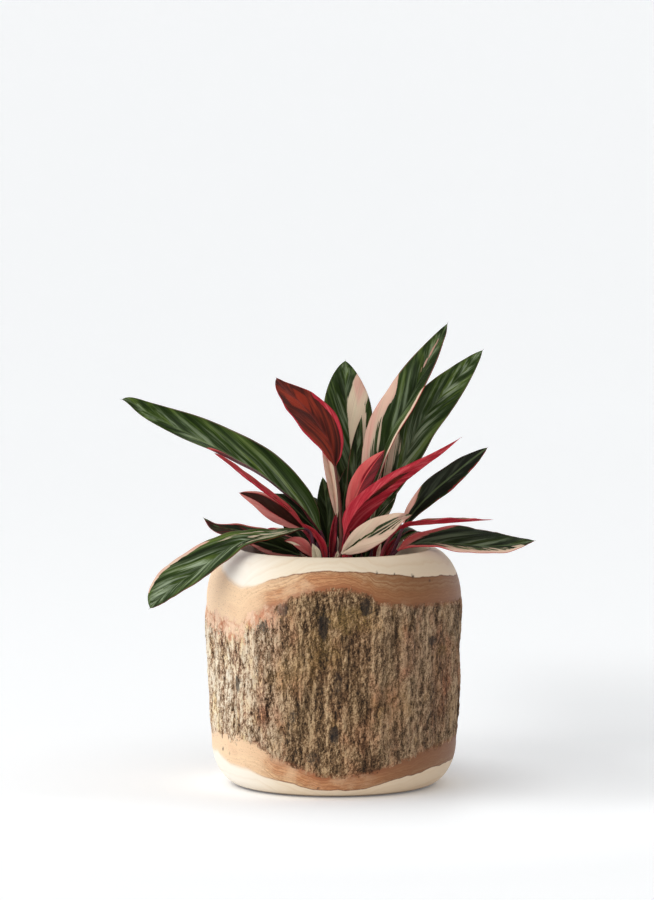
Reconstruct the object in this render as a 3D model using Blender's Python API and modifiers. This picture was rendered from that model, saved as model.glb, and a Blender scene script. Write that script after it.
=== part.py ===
"""A tricolour stromanthe growing in a pot hollowed from a log that keeps a band of its bark.

The pot stands on Z = 0 with its axis on the Z axis. The front of the pot faces -Y.
Every leaf is one solid: a round stalk that stands in its own hole in the soil, and a thin blade.
"""

import math

import bmesh
import bpy
from mathutils import Vector, noise

MM = 0.001

# The pot, as turned: a soft barrel with an elliptical shoulder at the rim and another at the foot.
POT_HEIGHT = 187 * MM
POT_RADIUS = 100.4 * MM
FOOT_RADIUS = 96.6 * MM
MOUTH_RADIUS = 74 * MM
SHOULDER_HEIGHT = 40 * MM
FOOT_FLAT_RADIUS = 72 * MM
FOOT_ROUNDING = 35 * MM
FLOOR_THICKNESS = 22 * MM
CAVITY_FOOT_RADIUS = 66 * MM
LIP_ROUNDING = 2.5 * MM
POT_STEPS = 88
FOOT_ROWS = 5
WALL_ROWS = 13
SHOULDER_ROWS = 8
WELD = 0.01 * MM

# The bark band: where it starts and ends at the front, and how it wanders round the log.
BARK_TOP = 156 * MM
BARK_FOOT = 32 * MM
BARK_TOP_WAVES = ((1, 6.0, -90), (2, 5.5, -95), (3, 3.0, -60), (5, 1.6, 40))
BARK_FOOT_WAVES = ((1, -7.5, -92), (2, -6.0, -88), (3, -1.8, -70), (5, 1.2, 10))
BARK_RELIEF = 1.9 * MM
BARK_PROUD = 0.8 * MM
BARK_RIDGES = 20
BARK_GRAIN = 7.0
BARK_STRETCH = 0.3
RIDGE_SHARE = 0.7
GRAIN_SHARE = 1.3
DRIFT_GRAIN = 0.35
DRIFT_TURN = 5
BARK_FADE = 9

# The soil, and the plain holes that the stalks stand in.
SOIL_TOP = 167 * MM
SOIL_GAP = 0.3 * MM
STALK_DEPTH = 12 * MM
HOLE_GAP = 0.3 * MM
STALK_RADIUS = 1.5 * MM
PEG_SIDES = 8
PEG_ABOVE = 10 * MM
SOIL_STEPS = 48

# Every leaf: sizes of the mesh and of the flesh.
STALK_RINGS = 5
BLADE_RINGS = 14
RING_POINTS = 10
PATH_STEPS = 12
BLADE_ROOT_RADIUS = 1.1 * MM
BLADE_THICKNESS = 0.8 * MM
RIB_DEPTH = 0.9 * MM
BLADE_START_ROUND = 0.09
HAIR = 0.015
HAIR_RADIUS = 0.5 * MM
NARROW = 5 * MM
BASE_FULLNESS = 0.8
RIGHT_WAVE_PHASE = 1.9
RIB_SHARE = 0.1

# Leaf table, in millimetres. soil is where the stalk enters the soil. stalk and rib are points along the
# stalk and then along the midrib, from the foot of the blade to its tip. face is where the upper side looks,
# at the foot and at the tip. left and right are the half widths near the foot, in the middle and near the
# tip, as seen from above with the tip pointing away, and the two turns are the angles in degrees by which
# each half rises towards the upper side. widest is the place of the full width and blunt the fullness of the
# end: small is blunt. wave is the height, count and phase of the edge's waves.
LEAVES = {
    "leaf_long_left": dict(
        soil=(-8, 4),
        stalk=[(-8, 3, 180)],
        rib=[(-9, 2, 196), (-24, 0, 218), (-41, -3, 233), (-60, -6, 248), (-79, -9, 259), (-100, -12, 271),
             (-124, -15, 283), (-146, -18, 295), (-160, -20, 304), (-168, -22, 306)],
        face=((0.1, -1.0, 0.15), (0, -1.0, 0.25)),
        left=(8, 10, 12), left_turn=(-75, -78, -8), right=(18, 22, 17), right_turn=(-10, -22, 5),
        widest=0.36, blunt=0.62, wave=(2.2, 4, 40),
    ),
    "leaf_rolled_left": dict(
        soil=(-6, -13),
        stalk=[(-7, -12, 183)],
        rib=[(-13, -12, 196), (-24, -15, 205), (-35, -19, 218), (-52, -23, 231), (-70, -27, 245),
             (-83, -30, 256), (-94, -33, 265)],
        face=((0.3, -0.5, 0.9), (0.3, -0.5, 0.9)),
        left=(3, 4, 5.5), left_turn=(60, 62, 58), right=(3, 4, 5.5), right_turn=(60, 62, 58),
        widest=0.5, blunt=0.5, wave=(0, 1, 0),
    ),
    "leaf_coral_left": dict(
        soil=(-15, -4),
        stalk=[(-16, -4, 187)],
        rib=[(-23, -5, 200), (-36, -8, 208), (-49, -11, 216), (-61, -14, 225), (-75, -17, 232)],
        face=((0, -1.0, 0.3), (0, -1.0, 0.2)),
        left=(6, 6, 5), left_turn=(-20, -15, 0), right=(9, 12, 9), right_turn=(30, 30, 20),
        widest=0.5, blunt=0.7, wave=(0.8, 2, 0),
    ),
    "leaf_dark_left": dict(
        soil=(-19, 8),
        stalk=[(-20, 6, 181)],
        rib=[(-27, 4, 191), (-51, 8, 195), (-76, 12, 199), (-93, 15, 202), (-104, 18, 209)],
        face=((0.1, -0.5, 1.0), (0.2, -1.0, 0.6)),
        left=(9, 13, 8), left_turn=(10, 10, 10), right=(7, 7, 5), right_turn=(6, 6, 6),
        widest=0.45, blunt=0.8, wave=(0.8, 3, 0),
    ),
    "leaf_over_rim": dict(
        soil=(-15, -19),
        stalk=[(-16, -19, 184)],
        rib=[(-21, -20, 203), (-48, -32, 200), (-67, -40, 197), (-79, -45, 193), (-93, -51, 184),
             (-108, -55, 173), (-124, -59, 163), (-137, -62, 152), (-144, -64, 145)],
        face=((0, -0.45, 1.0), (-0.45, -1.0, 0.8)),
        left=(9, 13, 16), left_turn=(10, 15, 15), right=(8, 16, 28), right_turn=(14, 16, 8),
        widest=0.62, blunt=0.6, wave=(0.8, 3, 90),
    ),
    "leaf_in_mouth_left": dict(
        soil=(-23, -8),
        stalk=[(-23, -8, 173)],
        rib=[(-27, -9, 181), (-42, -13, 188), (-58, -16, 193), (-73, -18, 195)],
        face=((0.1, -1.0, 0.5), (0.1, -1.0, 0.6)),
        left=(7, 9, 6), left_turn=(0, 0, 0), right=(7, 9, 6), right_turn=(12, 12, 12),
        widest=0.5, blunt=0.8, wave=(0, 1, 0),
    ),
    "leaf_mauve_left": dict(
        soil=(-11, -25),
        stalk=[(-13, -25, 174)],
        rib=[(-17, -25, 182), (-23, -26, 189), (-31, -27, 194), (-39, -28, 195)],
        face=((0.4, -1.0, 0.4), (0, -0.8, 1.0)),
        left=(4, 5, 4), left_turn=(10, 10, 10), right=(4, 6, 4), right_turn=(25, 25, 25),
        widest=0.45, blunt=0.8, wave=(0, 1, 0),
    ),
    "leaf_red_back": dict(
        soil=(5, -6),
        stalk=[(6, -6, 195), (4, -6, 228)],
        rib=[(1, -7, 250), (-1, -9, 263), (-6, -9, 276), (-18, -5, 293), (-31, 0, 306), (-40, 5, 314),
             (-46, 8, 321)],
        face=((0.1, 1.0, 0.1), (0.3, 1.0, 0.5)),
        left=(14, 15, 6), left_turn=(25, 18, 12), right=(13, 16, 22), right_turn=(12, 10, 10),
        widest=0.48, blunt=0.56, wave=(0.8, 3, 20),
    ),
    "leaf_pale_upright": dict(
        soil=(0, 12),
        stalk=[(1, 12, 190)],
        rib=[(2, 12, 208), (1, 12, 222), (-1, 13, 236), (-4, 14, 251), (-7, 16, 265), (-9, 18, 277)],
        face=((0, -1.0, 0.2), (0, -1.0, 0.3)),
        left=(4, 5, 4), left_turn=(20, 30, 20), right=(4, 6, 5), right_turn=(25, 35, 25),
        widest=0.45, blunt=0.75, wave=(0, 1, 0),
    ),
    "leaf_centre_tall": dict(
        soil=(15, 19),
        stalk=[(16, 20, 195)],
        rib=[(15, 23, 218), (14, 27, 248), (12, 31, 273), (10, 34, 298), (9, 37, 317), (9, 40, 333)],
        face=((0, -1.0, 0.1), (0, -1.0, 0.25)),
        left=(17, 19, 19), left_turn=(12, 8, 5), right=(17, 20, 19), right_turn=(14, 12, 8),
        widest=0.6, blunt=0.67, wave=(0.8, 3, 60),
    ),
    "leaf_tall_right": dict(
        soil=(22, 3),
        stalk=[(22, 4, 192)],
        rib=[(24, 5, 214), (32, 5, 240), (39, 6, 262), (47, 7, 281), (58, 8, 300), (68, 8, 320),
             (78, 7, 340), (90, 6, 365)],
        face=((-0.3, -1.0, 0.1), (-0.1, -1.0, 0.2)),
        left=(19, 20, 17), left_turn=(14, 10, 8), right=(11, 15, 15), right_turn=(44, 58, 34),
        widest=0.5, blunt=0.8, wave=(1.0, 3, 0),
    ),
    "leaf_upper_right": dict(
        soil=(33, 8),
        stalk=[(32, 12, 186)],
        rib=[(29, 17, 205), (37, 20, 217), (47, 22, 236), (58, 24, 260), (68, 26, 282), (82, 28, 301),
             (100, 30, 321), (119, 32, 342)],
        face=((0, -1.0, 0.2), (-0.1, -1.0, 0.35)),
        left=(19, 17, 14), left_turn=(18, 16, 12), right=(9, 15, 15), right_turn=(10, 12, 10),
        widest=0.56, blunt=0.74, wave=(1.2, 3, 120),
    ),
    "leaf_crimson_front": dict(
        soil=(10, -13),
        stalk=[(10, -13, 186)],
        rib=[(8, -15, 196), (16, -20, 215), (30, -23, 231), (45, -25, 243), (63, -27, 254),
             (80, -29, 264), (100, -32, 277)],
        face=((0.1, 1.0, 0.1), (0.1, 1.0, 0.1)),
        left=(15, 14, 7), left_turn=(40, 42, 40), right=(12, 6, 4), right_turn=(30, 32, 40),
        widest=0.22, blunt=0.94, wave=(0.6, 2, 0),
    ),
    "leaf_crimson_behind": dict(
        soil=(14, -4),
        stalk=[(12, -4, 190)],
        rib=[(11, -5, 206), (17, -5, 227), (26, -6, 246), (40, -8, 265)],
        face=((-0.4, -1.0, 0.3), (-0.4, -1.0, 0.3)),
        left=(8, 9, 8), left_turn=(10, 12, 10), right=(6, 9, 9), right_turn=(12, 14, 10),
        widest=0.55, blunt=0.8, wave=(0, 1, 0),
    ),
    "leaf_dark_right": dict(
        soil=(44, -2),
        stalk=[(46, -2, 182), (50, -3, 192)],
        rib=[(54, -4, 202), (63, -6, 216), (77, -9, 231), (93, -12, 245), (107, -15, 257), (121, -18, 268)],
        face=((-0.1, -1.0, 0.5), (-0.1, -1.0, 0.4)),
        left=(13, 10, 9), left_turn=(12, 10, 8), right=(8, 9, 9), right_turn=(-48, -42, -30),
        widest=0.5, blunt=0.74, wave=(0.8, 3, 0),
    ),
    "leaf_peach_front": dict(
        soil=(3, -31),
        stalk=[(3, -31, 176)],
        rib=[(5, -31, 184), (16, -33, 192), (28, -36, 200), (41, -39, 208), (51, -41, 214), (61, -43, 217)],
        face=((-0.1, -1.0, 0.35), (-0.2, -1.0, 0.5)),
        left=(10, 11, 8), left_turn=(10, 12, 5), right=(9, 11, 9), right_turn=(6, 8, 5),
        widest=0.42, blunt=0.72, wave=(0.5, 2, 0),
    ),
    "leaf_narrow_right": dict(
        soil=(36, -17),
        stalk=[(38, -17, 184)],
        rib=[(46, -17, 199), (57, -19, 206), (75, -22, 208), (99, -26, 210), (125, -30, 212)],
        face=((0, 0.15, 1.0), (0, 0.15, 1.0)),
        left=(7, 11, 7), left_turn=(20, 24, 20), right=(7, 11, 7), right_turn=(12, 12, 12),
        widest=0.42, blunt=0.9, wave=(0, 1, 0),
    ),
    "leaf_low_right": dict(
        soil=(46, -12),
        stalk=[(46, -12, 177)],
        rib=[(48, -12, 184), (59, -13, 190), (73, -15, 192), (89, -19, 192), (108, -24, 191),
             (131, -29, 191), (158, -35, 196)],
        face=((-0.1, -0.8, 1.0), (0, -0.7, 1.0)),
        left=(14, 19, 14), left_turn=(6, 6, 4), right=(8, 11, 12), right_turn=(20, 14, -16),
        widest=0.45, blunt=0.75, wave=(0.8, 3, 0),
    ),
    "leaf_dark_behind_left": dict(
        soil=(-12, 15),
        stalk=[(-12, 15, 184)],
        rib=[(-14, 15, 198), (-24, 16, 209), (-36, 18, 220), (-47, 20, 228)],
        face=((0.1, -1.0, 0.6), (0.1, -1.0, 0.6)),
        left=(8, 10, 7), left_turn=(0, 0, 0), right=(8, 10, 7), right_turn=(10, 10, 10),
        widest=0.5, blunt=0.8, wave=(0, 1, 0),
    ),
    "leaf_back_tall": dict(
        soil=(8, 28),
        stalk=[(9, 32, 192)],
        rib=[(11, 42, 218), (13, 58, 242), (14, 80, 258), (15, 104, 262), (16, 126, 252)],
        face=((0, -0.8, 0.6), (0, 0.3, 1.0)),
        left=(14, 19, 15), left_turn=(14, 12, 8), right=(14, 19, 15), right_turn=(14, 12, 8),
        widest=0.5, blunt=0.72, wave=(1.2, 3, 30),
    ),
    "leaf_back_right": dict(
        soil=(30, 24),
        stalk=[(31, 27, 190)],
        rib=[(33, 34, 208), (36, 48, 228), (38, 68, 240), (40, 90, 238), (42, 110, 226)],
        face=((0, -0.8, 0.7), (0.1, 0.4, 1.0)),
        left=(12, 17, 13), left_turn=(12, 10, 8), right=(12, 17, 13), right_turn=(12, 10, 8),
        widest=0.5, blunt=0.72, wave=(1.0, 3, 150),
    ),
    "leaf_back_low_left": dict(
        soil=(-8, 28),
        stalk=[(-10, 32, 178)],
        rib=[(-16, 42, 187), (-28, 62, 193), (-40, 84, 190), (-54, 106, 177), (-66, 124, 156)],
        face=((0.2, -0.3, 1.0), (-0.3, 0.7, 1.0)),
        left=(12, 17, 13), left_turn=(8, 6, 4), right=(12, 17, 13), right_turn=(8, 6, 4),
        widest=0.48, blunt=0.72, wave=(1.0, 3, 0),
    ),
    "leaf_back_low_right": dict(
        soil=(42, 12),
        stalk=[(44, 18, 178)],
        rib=[(48, 30, 186), (54, 50, 192), (60, 74, 191), (68, 98, 180), (76, 118, 161)],
        face=((0, -0.3, 1.0), (0.3, 0.7, 1.0)),
        left=(11, 16, 13), left_turn=(8, 6, 4), right=(11, 16, 13), right_turn=(8, 6, 4),
        widest=0.48, blunt=0.72, wave=(1.0, 3, 70),
    ),
    "leaf_back_middle": dict(
        soil=(20, 32),
        stalk=[(20, 38, 184)],
        rib=[(19, 48, 202), (16, 68, 216), (10, 90, 220), (4, 114, 211), (0, 132, 194)],
        face=((0, -0.6, 0.9), (-0.1, 0.5, 1.0)),
        left=(12, 17, 13), left_turn=(12, 10, 8), right=(12, 17, 13), right_turn=(12, 10, 8),
        widest=0.48, blunt=0.72, wave=(1.2, 3, 100),
    ),
}

COLOURS = {
    "bark": (0.13, 0.085, 0.05),
    "leaf": (0.05, 0.13, 0.03),
    "leaf_red": (0.4, 0.02, 0.05),
    "leaf_peach": (0.6, 0.36, 0.24),
    "soil": (0.03, 0.02, 0.014),
}
RED_LEAVES = ("leaf_rolled_left", "leaf_red_back", "leaf_crimson_front", "leaf_crimson_behind",
              "leaf_narrow_right", "leaf_coral_left")
PEACH_LEAVES = ("leaf_peach_front", "leaf_pale_upright", "leaf_mauve_left")


def clear_scene():
    for thing in list(bpy.data.objects):
        bpy.data.objects.remove(thing)


def material(name, roughness):
    made = bpy.data.materials.new(name)
    made.use_nodes = True
    shader = made.node_tree.nodes["Principled BSDF"]
    shader.inputs["Base Color"].default_value = (*COLOURS[name], 1)
    shader.inputs["Roughness"].default_value = roughness
    return made


def add_object(name, mesh, collection, finish):
    made = bpy.data.objects.new(name, mesh)
    made.data.materials.append(finish)
    collection.objects.link(made)
    return made


def mix(low, high, share):
    return low + (high - low) * share


def smooth(share):
    share = min(max(share, 0), 1)
    return share * share * (3 - 2 * share)


# Pot


def turned_radius(z):
    """The radius of the pot as the lathe left it, at height z."""
    if z < FOOT_ROUNDING:
        rise = 1 - z / FOOT_ROUNDING
        return FOOT_FLAT_RADIUS + (FOOT_RADIUS - FOOT_FLAT_RADIUS) * math.sqrt(max(1 - rise * rise, 0))
    shoulder = POT_HEIGHT - SHOULDER_HEIGHT
    if z > shoulder:
        rise = (z - shoulder) / SHOULDER_HEIGHT
        return MOUTH_RADIUS + (POT_RADIUS - MOUTH_RADIUS) * math.sqrt(max(1 - rise * rise, 0))
    share = (z - FOOT_ROUNDING) / (shoulder - FOOT_ROUNDING)
    return mix(FOOT_RADIUS, POT_RADIUS, math.sin(share * math.pi / 2))


def bark_edge(middle, waves, angle):
    """The height at which the bark starts or ends, at this angle round the log."""
    return middle + sum(height * MM * math.cos(count * (angle - math.radians(phase)))
                        for count, height, phase in waves)


def bark_relief(angle, z):
    """Upright ridges and furrows that wander as they rise."""
    spot = Vector((math.cos(angle), math.sin(angle), z / POT_RADIUS * BARK_STRETCH)) * BARK_GRAIN
    drift = noise.noise(spot * DRIFT_GRAIN) * DRIFT_TURN
    ridges = math.sin(BARK_RIDGES * angle + drift)
    return BARK_RELIEF * (ridges * RIDGE_SHARE + noise.noise(spot) * GRAIN_SHARE)


def pot_radius(angle, z):
    """The finished radius: the bark band is a flatter chord between its two edges, with its relief."""
    turned = turned_radius(z)
    top = bark_edge(BARK_TOP, BARK_TOP_WAVES, angle)
    foot = bark_edge(BARK_FOOT, BARK_FOOT_WAVES, angle)
    if not foot < z < top:
        return turned
    share = (z - foot) / (top - foot)
    natural = mix(turned_radius(foot), turned_radius(top), share)
    strength = smooth(min(share, 1 - share) * BARK_FADE)
    return min(turned + BARK_PROUD, mix(turned, natural + bark_relief(angle, z), strength))


def pot_profile():
    """Points of the half section, from the middle of the foot up the outside and down into the cavity."""
    points = [(0, 0), (FOOT_FLAT_RADIUS, 0)]
    for step in range(1, FOOT_ROWS + 1):
        z = FOOT_ROUNDING * (1 - math.cos(math.pi / 2 * step / FOOT_ROWS))
        points.append((turned_radius(z), z))
    straight = POT_HEIGHT - SHOULDER_HEIGHT - FOOT_ROUNDING
    for step in range(1, WALL_ROWS + 1):
        z = FOOT_ROUNDING + straight * step / WALL_ROWS
        points.append((turned_radius(z), z))
    for step in range(1, SHOULDER_ROWS):
        z = POT_HEIGHT - SHOULDER_HEIGHT + SHOULDER_HEIGHT * math.sin(math.pi / 2 * step / SHOULDER_ROWS)
        points.append((turned_radius(z), z))
    points.append((MOUTH_RADIUS + LIP_ROUNDING, POT_HEIGHT))
    points.append((MOUTH_RADIUS, POT_HEIGHT - LIP_ROUNDING))
    points.append((mix(CAVITY_FOOT_RADIUS, MOUTH_RADIUS, 0.5), mix(FLOOR_THICKNESS, POT_HEIGHT, 0.5)))
    points.append((CAVITY_FOOT_RADIUS, FLOOR_THICKNESS))
    points.append((0, FLOOR_THICKNESS))
    return points


def turned_mesh(name, points, steps):
    """Turns a half section round Z and returns the closed mesh."""
    curve = bpy.data.curves.new(name, "CURVE")
    curve.dimensions = "3D"
    spline = curve.splines.new("POLY")
    spline.points.add(len(points) - 1)
    for point, (radius, z) in zip(spline.points, points):
        point.co = (radius, 0, z, 1)
    turned = bpy.data.objects.new(name + "_section", curve)
    bpy.context.scene.collection.objects.link(turned)
    screw = turned.modifiers.new("turn", "SCREW")
    screw.steps = steps
    screw.render_steps = steps
    screw.use_merge_vertices = True
    screw.merge_threshold = WELD
    bpy.context.view_layer.update()
    evaluated = turned.evaluated_get(bpy.context.evaluated_depsgraph_get())
    mesh = bpy.data.meshes.new_from_object(evaluated)
    mesh.name = name
    bpy.data.objects.remove(turned)
    work = bmesh.new()
    work.from_mesh(mesh)
    bmesh.ops.remove_doubles(work, verts=work.verts, dist=WELD)
    bmesh.ops.recalc_face_normals(work, faces=work.faces)
    bmesh.ops.triangulate(work, faces=work.faces)
    work.to_mesh(mesh)
    work.free()
    return mesh


def make_pot(collection, finish):
    mesh = turned_mesh("log_pot", pot_profile(), POT_STEPS)
    for vertex in mesh.vertices:
        radius = math.hypot(vertex.co.x, vertex.co.y)
        outside = abs(radius - turned_radius(vertex.co.z)) < 0.05 * MM and vertex.co.z > 0
        if not outside:
            continue
        angle = math.atan2(vertex.co.y, vertex.co.x)
        grown = pot_radius(angle, vertex.co.z) / radius
        vertex.co.x *= grown
        vertex.co.y *= grown
    mesh.shade_smooth()
    return add_object("log_pot", mesh, collection, finish)


# Soil


def cavity_radius(z):
    share = (z - FLOOR_THICKNESS) / (POT_HEIGHT - FLOOR_THICKNESS)
    return mix(CAVITY_FOOT_RADIUS, MOUTH_RADIUS, share)


def soil_holes(collection):
    """One cutter of upright pegs, one for each stalk."""
    work = bmesh.new()
    radius = (STALK_RADIUS + HOLE_GAP) / math.cos(math.pi / PEG_SIDES)
    depth = STALK_DEPTH + HOLE_GAP
    height = depth + PEG_ABOVE
    for leaf in LEAVES.values():
        x, y = leaf["soil"]
        peg = bmesh.ops.create_cone(work, cap_ends=True, segments=PEG_SIDES,
                                    radius1=radius, radius2=radius, depth=height)
        middle = SOIL_TOP - depth + height / 2
        bmesh.ops.translate(work, verts=peg["verts"], vec=(x * MM, y * MM, middle))
    mesh = bpy.data.meshes.new("soil_holes")
    work.to_mesh(mesh)
    work.free()
    cutter = bpy.data.objects.new("soil_holes", mesh)
    cutter.hide_render = True
    cutter.display_type = "WIRE"
    collection.objects.link(cutter)
    return cutter


def make_soil(collection, cutters, finish):
    foot = FLOOR_THICKNESS + SOIL_GAP
    foot_radius = cavity_radius(foot) - SOIL_GAP
    top_radius = cavity_radius(SOIL_TOP) - SOIL_GAP
    points = [(0, foot), (foot_radius, foot), (top_radius, SOIL_TOP), (0, SOIL_TOP)]
    mesh = turned_mesh("soil", points, SOIL_STEPS)
    soil = add_object("soil", mesh, collection, finish)
    cut = soil.modifiers.new("stalk holes", "BOOLEAN")
    cut.operation = "DIFFERENCE"
    cut.object = soil_holes(cutters)
    return soil


# Leaves


def path_point(points, position):
    """A point on the smooth curve through points; position counts them from 0."""
    last = len(points) - 1
    index = min(int(position), last - 1)
    share = position - index
    here, there = points[index], points[index + 1]
    before = points[index - 1] if index > 0 else here * 2 - there
    after = points[index + 2] if index + 2 <= last else there * 2 - here
    out = (there - before) / 2
    into = (after - here) / 2
    return (here * (2 * share ** 3 - 3 * share ** 2 + 1) + there * (3 * share ** 2 - 2 * share ** 3)
            + out * (share ** 3 - 2 * share ** 2 + share) + into * (share ** 3 - share ** 2))


def even_points(points, first, last, count):
    """count points at even distances along the smooth curve, between two of its points."""
    fine = PATH_STEPS * (last - first)
    marks = [path_point(points, first + (last - first) * step / fine) for step in range(fine + 1)]
    lengths = [0]
    for mark, following in zip(marks, marks[1:]):
        lengths.append(lengths[-1] + (following - mark).length)
    even = []
    index = 0
    for step in range(count):
        wanted = lengths[-1] * step / (count - 1)
        while index < fine - 1 and lengths[index + 1] < wanted:
            index += 1
        share = (wanted - lengths[index]) / (lengths[index + 1] - lengths[index])
        even.append(marks[index].lerp(marks[index + 1], share))
    return even


def three_point(values, share):
    """A smooth curve through three values, at 0, a half and 1."""
    low, middle, high = values
    return (low * (1 - share) * (1 - 2 * share) + middle * 4 * share * (1 - share)
            + high * share * (2 * share - 1))


def outline(share, widest, blunt):
    """The half width of a stromanthe blade, from 0 to 1. The last stretch is the hair of the tip."""
    if share < widest:
        return math.sin(math.pi / 2 * share / widest) ** BASE_FULLNESS
    toward_tip = min((share - widest) / (1 - HAIR - widest), 1)
    return math.cos(math.pi / 2 * toward_tip) ** blunt if toward_tip < 1 else 0


def ring_place(index):
    """Where a point of the ring lies: its share across, from 1 at the left to -1, and its side."""
    half = RING_POINTS // 2
    if index < half:
        return 1 - 2 * index / (half - 1), 1
    return -1 + 2 * (index - half) / (half - 1), -1


def blade_point(leaf, share, across, side):
    """A point of the blade's section, as distances to the leaf's left and towards its upper side."""
    hand, turn = ("left", "left_turn") if across >= 0 else ("right", "right_turn")
    width = three_point(leaf[hand], share) * outline(share, leaf["widest"], leaf["blunt"]) * MM
    width = max(width, HAIR_RADIUS)
    angle = math.radians(three_point(leaf[turn], share)) * min(width / NARROW, 1)
    height, count, phase = leaf["wave"]
    shift = RIGHT_WAVE_PHASE if across < 0 else 0
    swing = math.sin(2 * math.pi * count * share + math.radians(phase) + shift)
    ripple = height * MM * swing * across * across * math.sin(math.pi * share)
    out = abs(across) * width
    left = math.copysign(out * math.cos(angle), across)
    up = out * math.sin(angle) + ripple
    thickness = side * BLADE_THICKNESS / 2
    if abs(across) < RIB_SHARE:
        rib = RIB_DEPTH * (1 - share) if side < 0 else 0
        return left, up + thickness - rib
    left -= math.copysign(1, across) * thickness * math.sin(angle)
    return left, up + thickness * math.cos(angle)


def round_point(index, radius):
    """The same point of the ring on the round stalk."""
    turn = math.pi * (2 * index + 1) / RING_POINTS
    return radius * math.cos(turn), radius * math.sin(turn)


def leaf_rings(leaf):
    """Rings of points along the stalk and the blade."""
    x, y = leaf["soil"]
    top = SOIL_TOP / MM
    buried = [(x, y, top - STALK_DEPTH / MM), (x, y, top + 1)]
    points = [Vector(point) * MM for point in buried + leaf["stalk"] + leaf["rib"]]
    start = 2 + len(leaf["stalk"])
    last = len(points) - 1
    stalk = even_points(points, 1, start, STALK_RINGS)
    blade = even_points(points, start, last, BLADE_RINGS + 1)
    centres = [points[0]] + stalk + blade[1:]
    foot_face, tip_face = (Vector(face) for face in leaf["face"])
    rings = []
    for number, centre in enumerate(centres):
        ahead = centres[min(number + 1, len(centres) - 1)]
        behind = centres[max(number - 1, 0)]
        along = (ahead - behind).normalized()
        if number < 2:
            along = Vector((0, 0, 1))
        share = max(number - STALK_RINGS, 0) / BLADE_RINGS
        face = foot_face.lerp(tip_face, share)
        upward = (face - along * face.dot(along)).normalized()
        leftward = upward.cross(along)
        flat = smooth(share / BLADE_START_ROUND)
        radius = mix(STALK_RADIUS, BLADE_ROOT_RADIUS, min(number / STALK_RINGS, 1))
        ring = []
        for index in range(RING_POINTS):
            across, side = ring_place(index)
            left, up = round_point(index, radius)
            blade_left, blade_up = blade_point(leaf, share, across, side)
            left = mix(left, blade_left, flat)
            up = mix(up, blade_up, flat)
            ring.append(centre + leftward * left + upward * up)
        rings.append(ring)
    return rings


def leaf_mesh(name, leaf):
    """A grid wrapped round the leaf: split into triangles alike on both sides, closed at the seam and ends."""
    rings = leaf_rings(leaf)
    rows = len(rings)
    work = bmesh.new()
    bmesh.ops.create_grid(work, x_segments=RING_POINTS, y_segments=rows - 1, size=1)
    places = {}
    for vertex in work.verts:
        column = round((vertex.co.x + 1) / 2 * RING_POINTS)
        row = round((vertex.co.y + 1) / 2 * (rows - 1))
        places[vertex] = (row, column)
    for face in list(work.faces):
        corners = {places[vertex]: vertex for vertex in face.verts}
        row = min(corner[0] for corner in corners)
        column = min(corner[1] for corner in corners)
        if column < RING_POINTS // 2:
            ends = corners[(row, column)], corners[(row + 1, column + 1)]
        else:
            ends = corners[(row, column + 1)], corners[(row + 1, column)]
        bmesh.utils.face_split(face, *ends)
    for vertex, (row, column) in places.items():
        vertex.co = rings[row][column % RING_POINTS]
    bmesh.ops.remove_doubles(work, verts=work.verts, dist=WELD / 10)
    bmesh.ops.holes_fill(work, edges=work.edges, sides=RING_POINTS)
    bmesh.ops.triangulate(work, faces=work.faces)
    bmesh.ops.recalc_face_normals(work, faces=work.faces)
    if work.calc_volume(signed=True) < 0:
        bmesh.ops.reverse_faces(work, faces=work.faces)
    mesh = bpy.data.meshes.new(name)
    work.to_mesh(mesh)
    work.free()
    mesh.shade_smooth()
    return mesh


def main():
    clear_scene()
    part = bpy.data.collections.new("potted_stromanthe")
    cutters = bpy.data.collections.new("cutters")
    bpy.context.scene.collection.children.link(part)
    bpy.context.scene.collection.children.link(cutters)
    green = material("leaf", 0.45)
    red = material("leaf_red", 0.45)
    peach = material("leaf_peach", 0.45)
    make_pot(part, material("bark", 0.85))
    make_soil(part, cutters, material("soil", 0.95))
    for name, leaf in LEAVES.items():
        finish = red if name in RED_LEAVES else peach if name in PEACH_LEAVES else green
        add_object(name, leaf_mesh(name, leaf), part, finish)


main()
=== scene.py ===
"""Looks of the potted stromanthe: a turned log with its bark left on, soil, and tricolour leaves.

Lengths are in metres unless a name says otherwise. The front of the pot faces -Y.
Angles round the pot are in degrees from the front, growing towards the right.
"""

import math
import random

import bmesh
import bpy
from mathutils import Euler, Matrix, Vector, noise


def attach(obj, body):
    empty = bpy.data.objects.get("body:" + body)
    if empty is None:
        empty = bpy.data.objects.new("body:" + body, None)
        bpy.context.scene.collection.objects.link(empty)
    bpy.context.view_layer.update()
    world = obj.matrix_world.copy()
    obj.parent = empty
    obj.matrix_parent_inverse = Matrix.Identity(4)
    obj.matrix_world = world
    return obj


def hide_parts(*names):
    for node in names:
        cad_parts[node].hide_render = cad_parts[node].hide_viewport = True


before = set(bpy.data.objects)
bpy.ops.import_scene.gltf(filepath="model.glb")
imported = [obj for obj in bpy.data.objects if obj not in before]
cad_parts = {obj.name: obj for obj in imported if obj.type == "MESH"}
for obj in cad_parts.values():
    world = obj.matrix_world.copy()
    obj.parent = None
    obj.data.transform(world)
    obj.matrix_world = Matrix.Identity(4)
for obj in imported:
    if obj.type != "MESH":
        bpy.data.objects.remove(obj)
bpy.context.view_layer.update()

MM = 0.001
BODY = "root"

# The strength of the world on the left and on the right, and the floor's own glow away from the pot.
WORLD_LEFT = 1.29
WORLD_RIGHT = 0.21
GLOW = 0.2

# The floor and the wall behind it, in metres.
FLOOR_FRONT = 40
FLOOR_HALF_WIDTH = 40
SWEEP_LENGTH = 49
WALL_START = 4
WALL_BEND = 2
FLOOR_ROWS = 240

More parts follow.
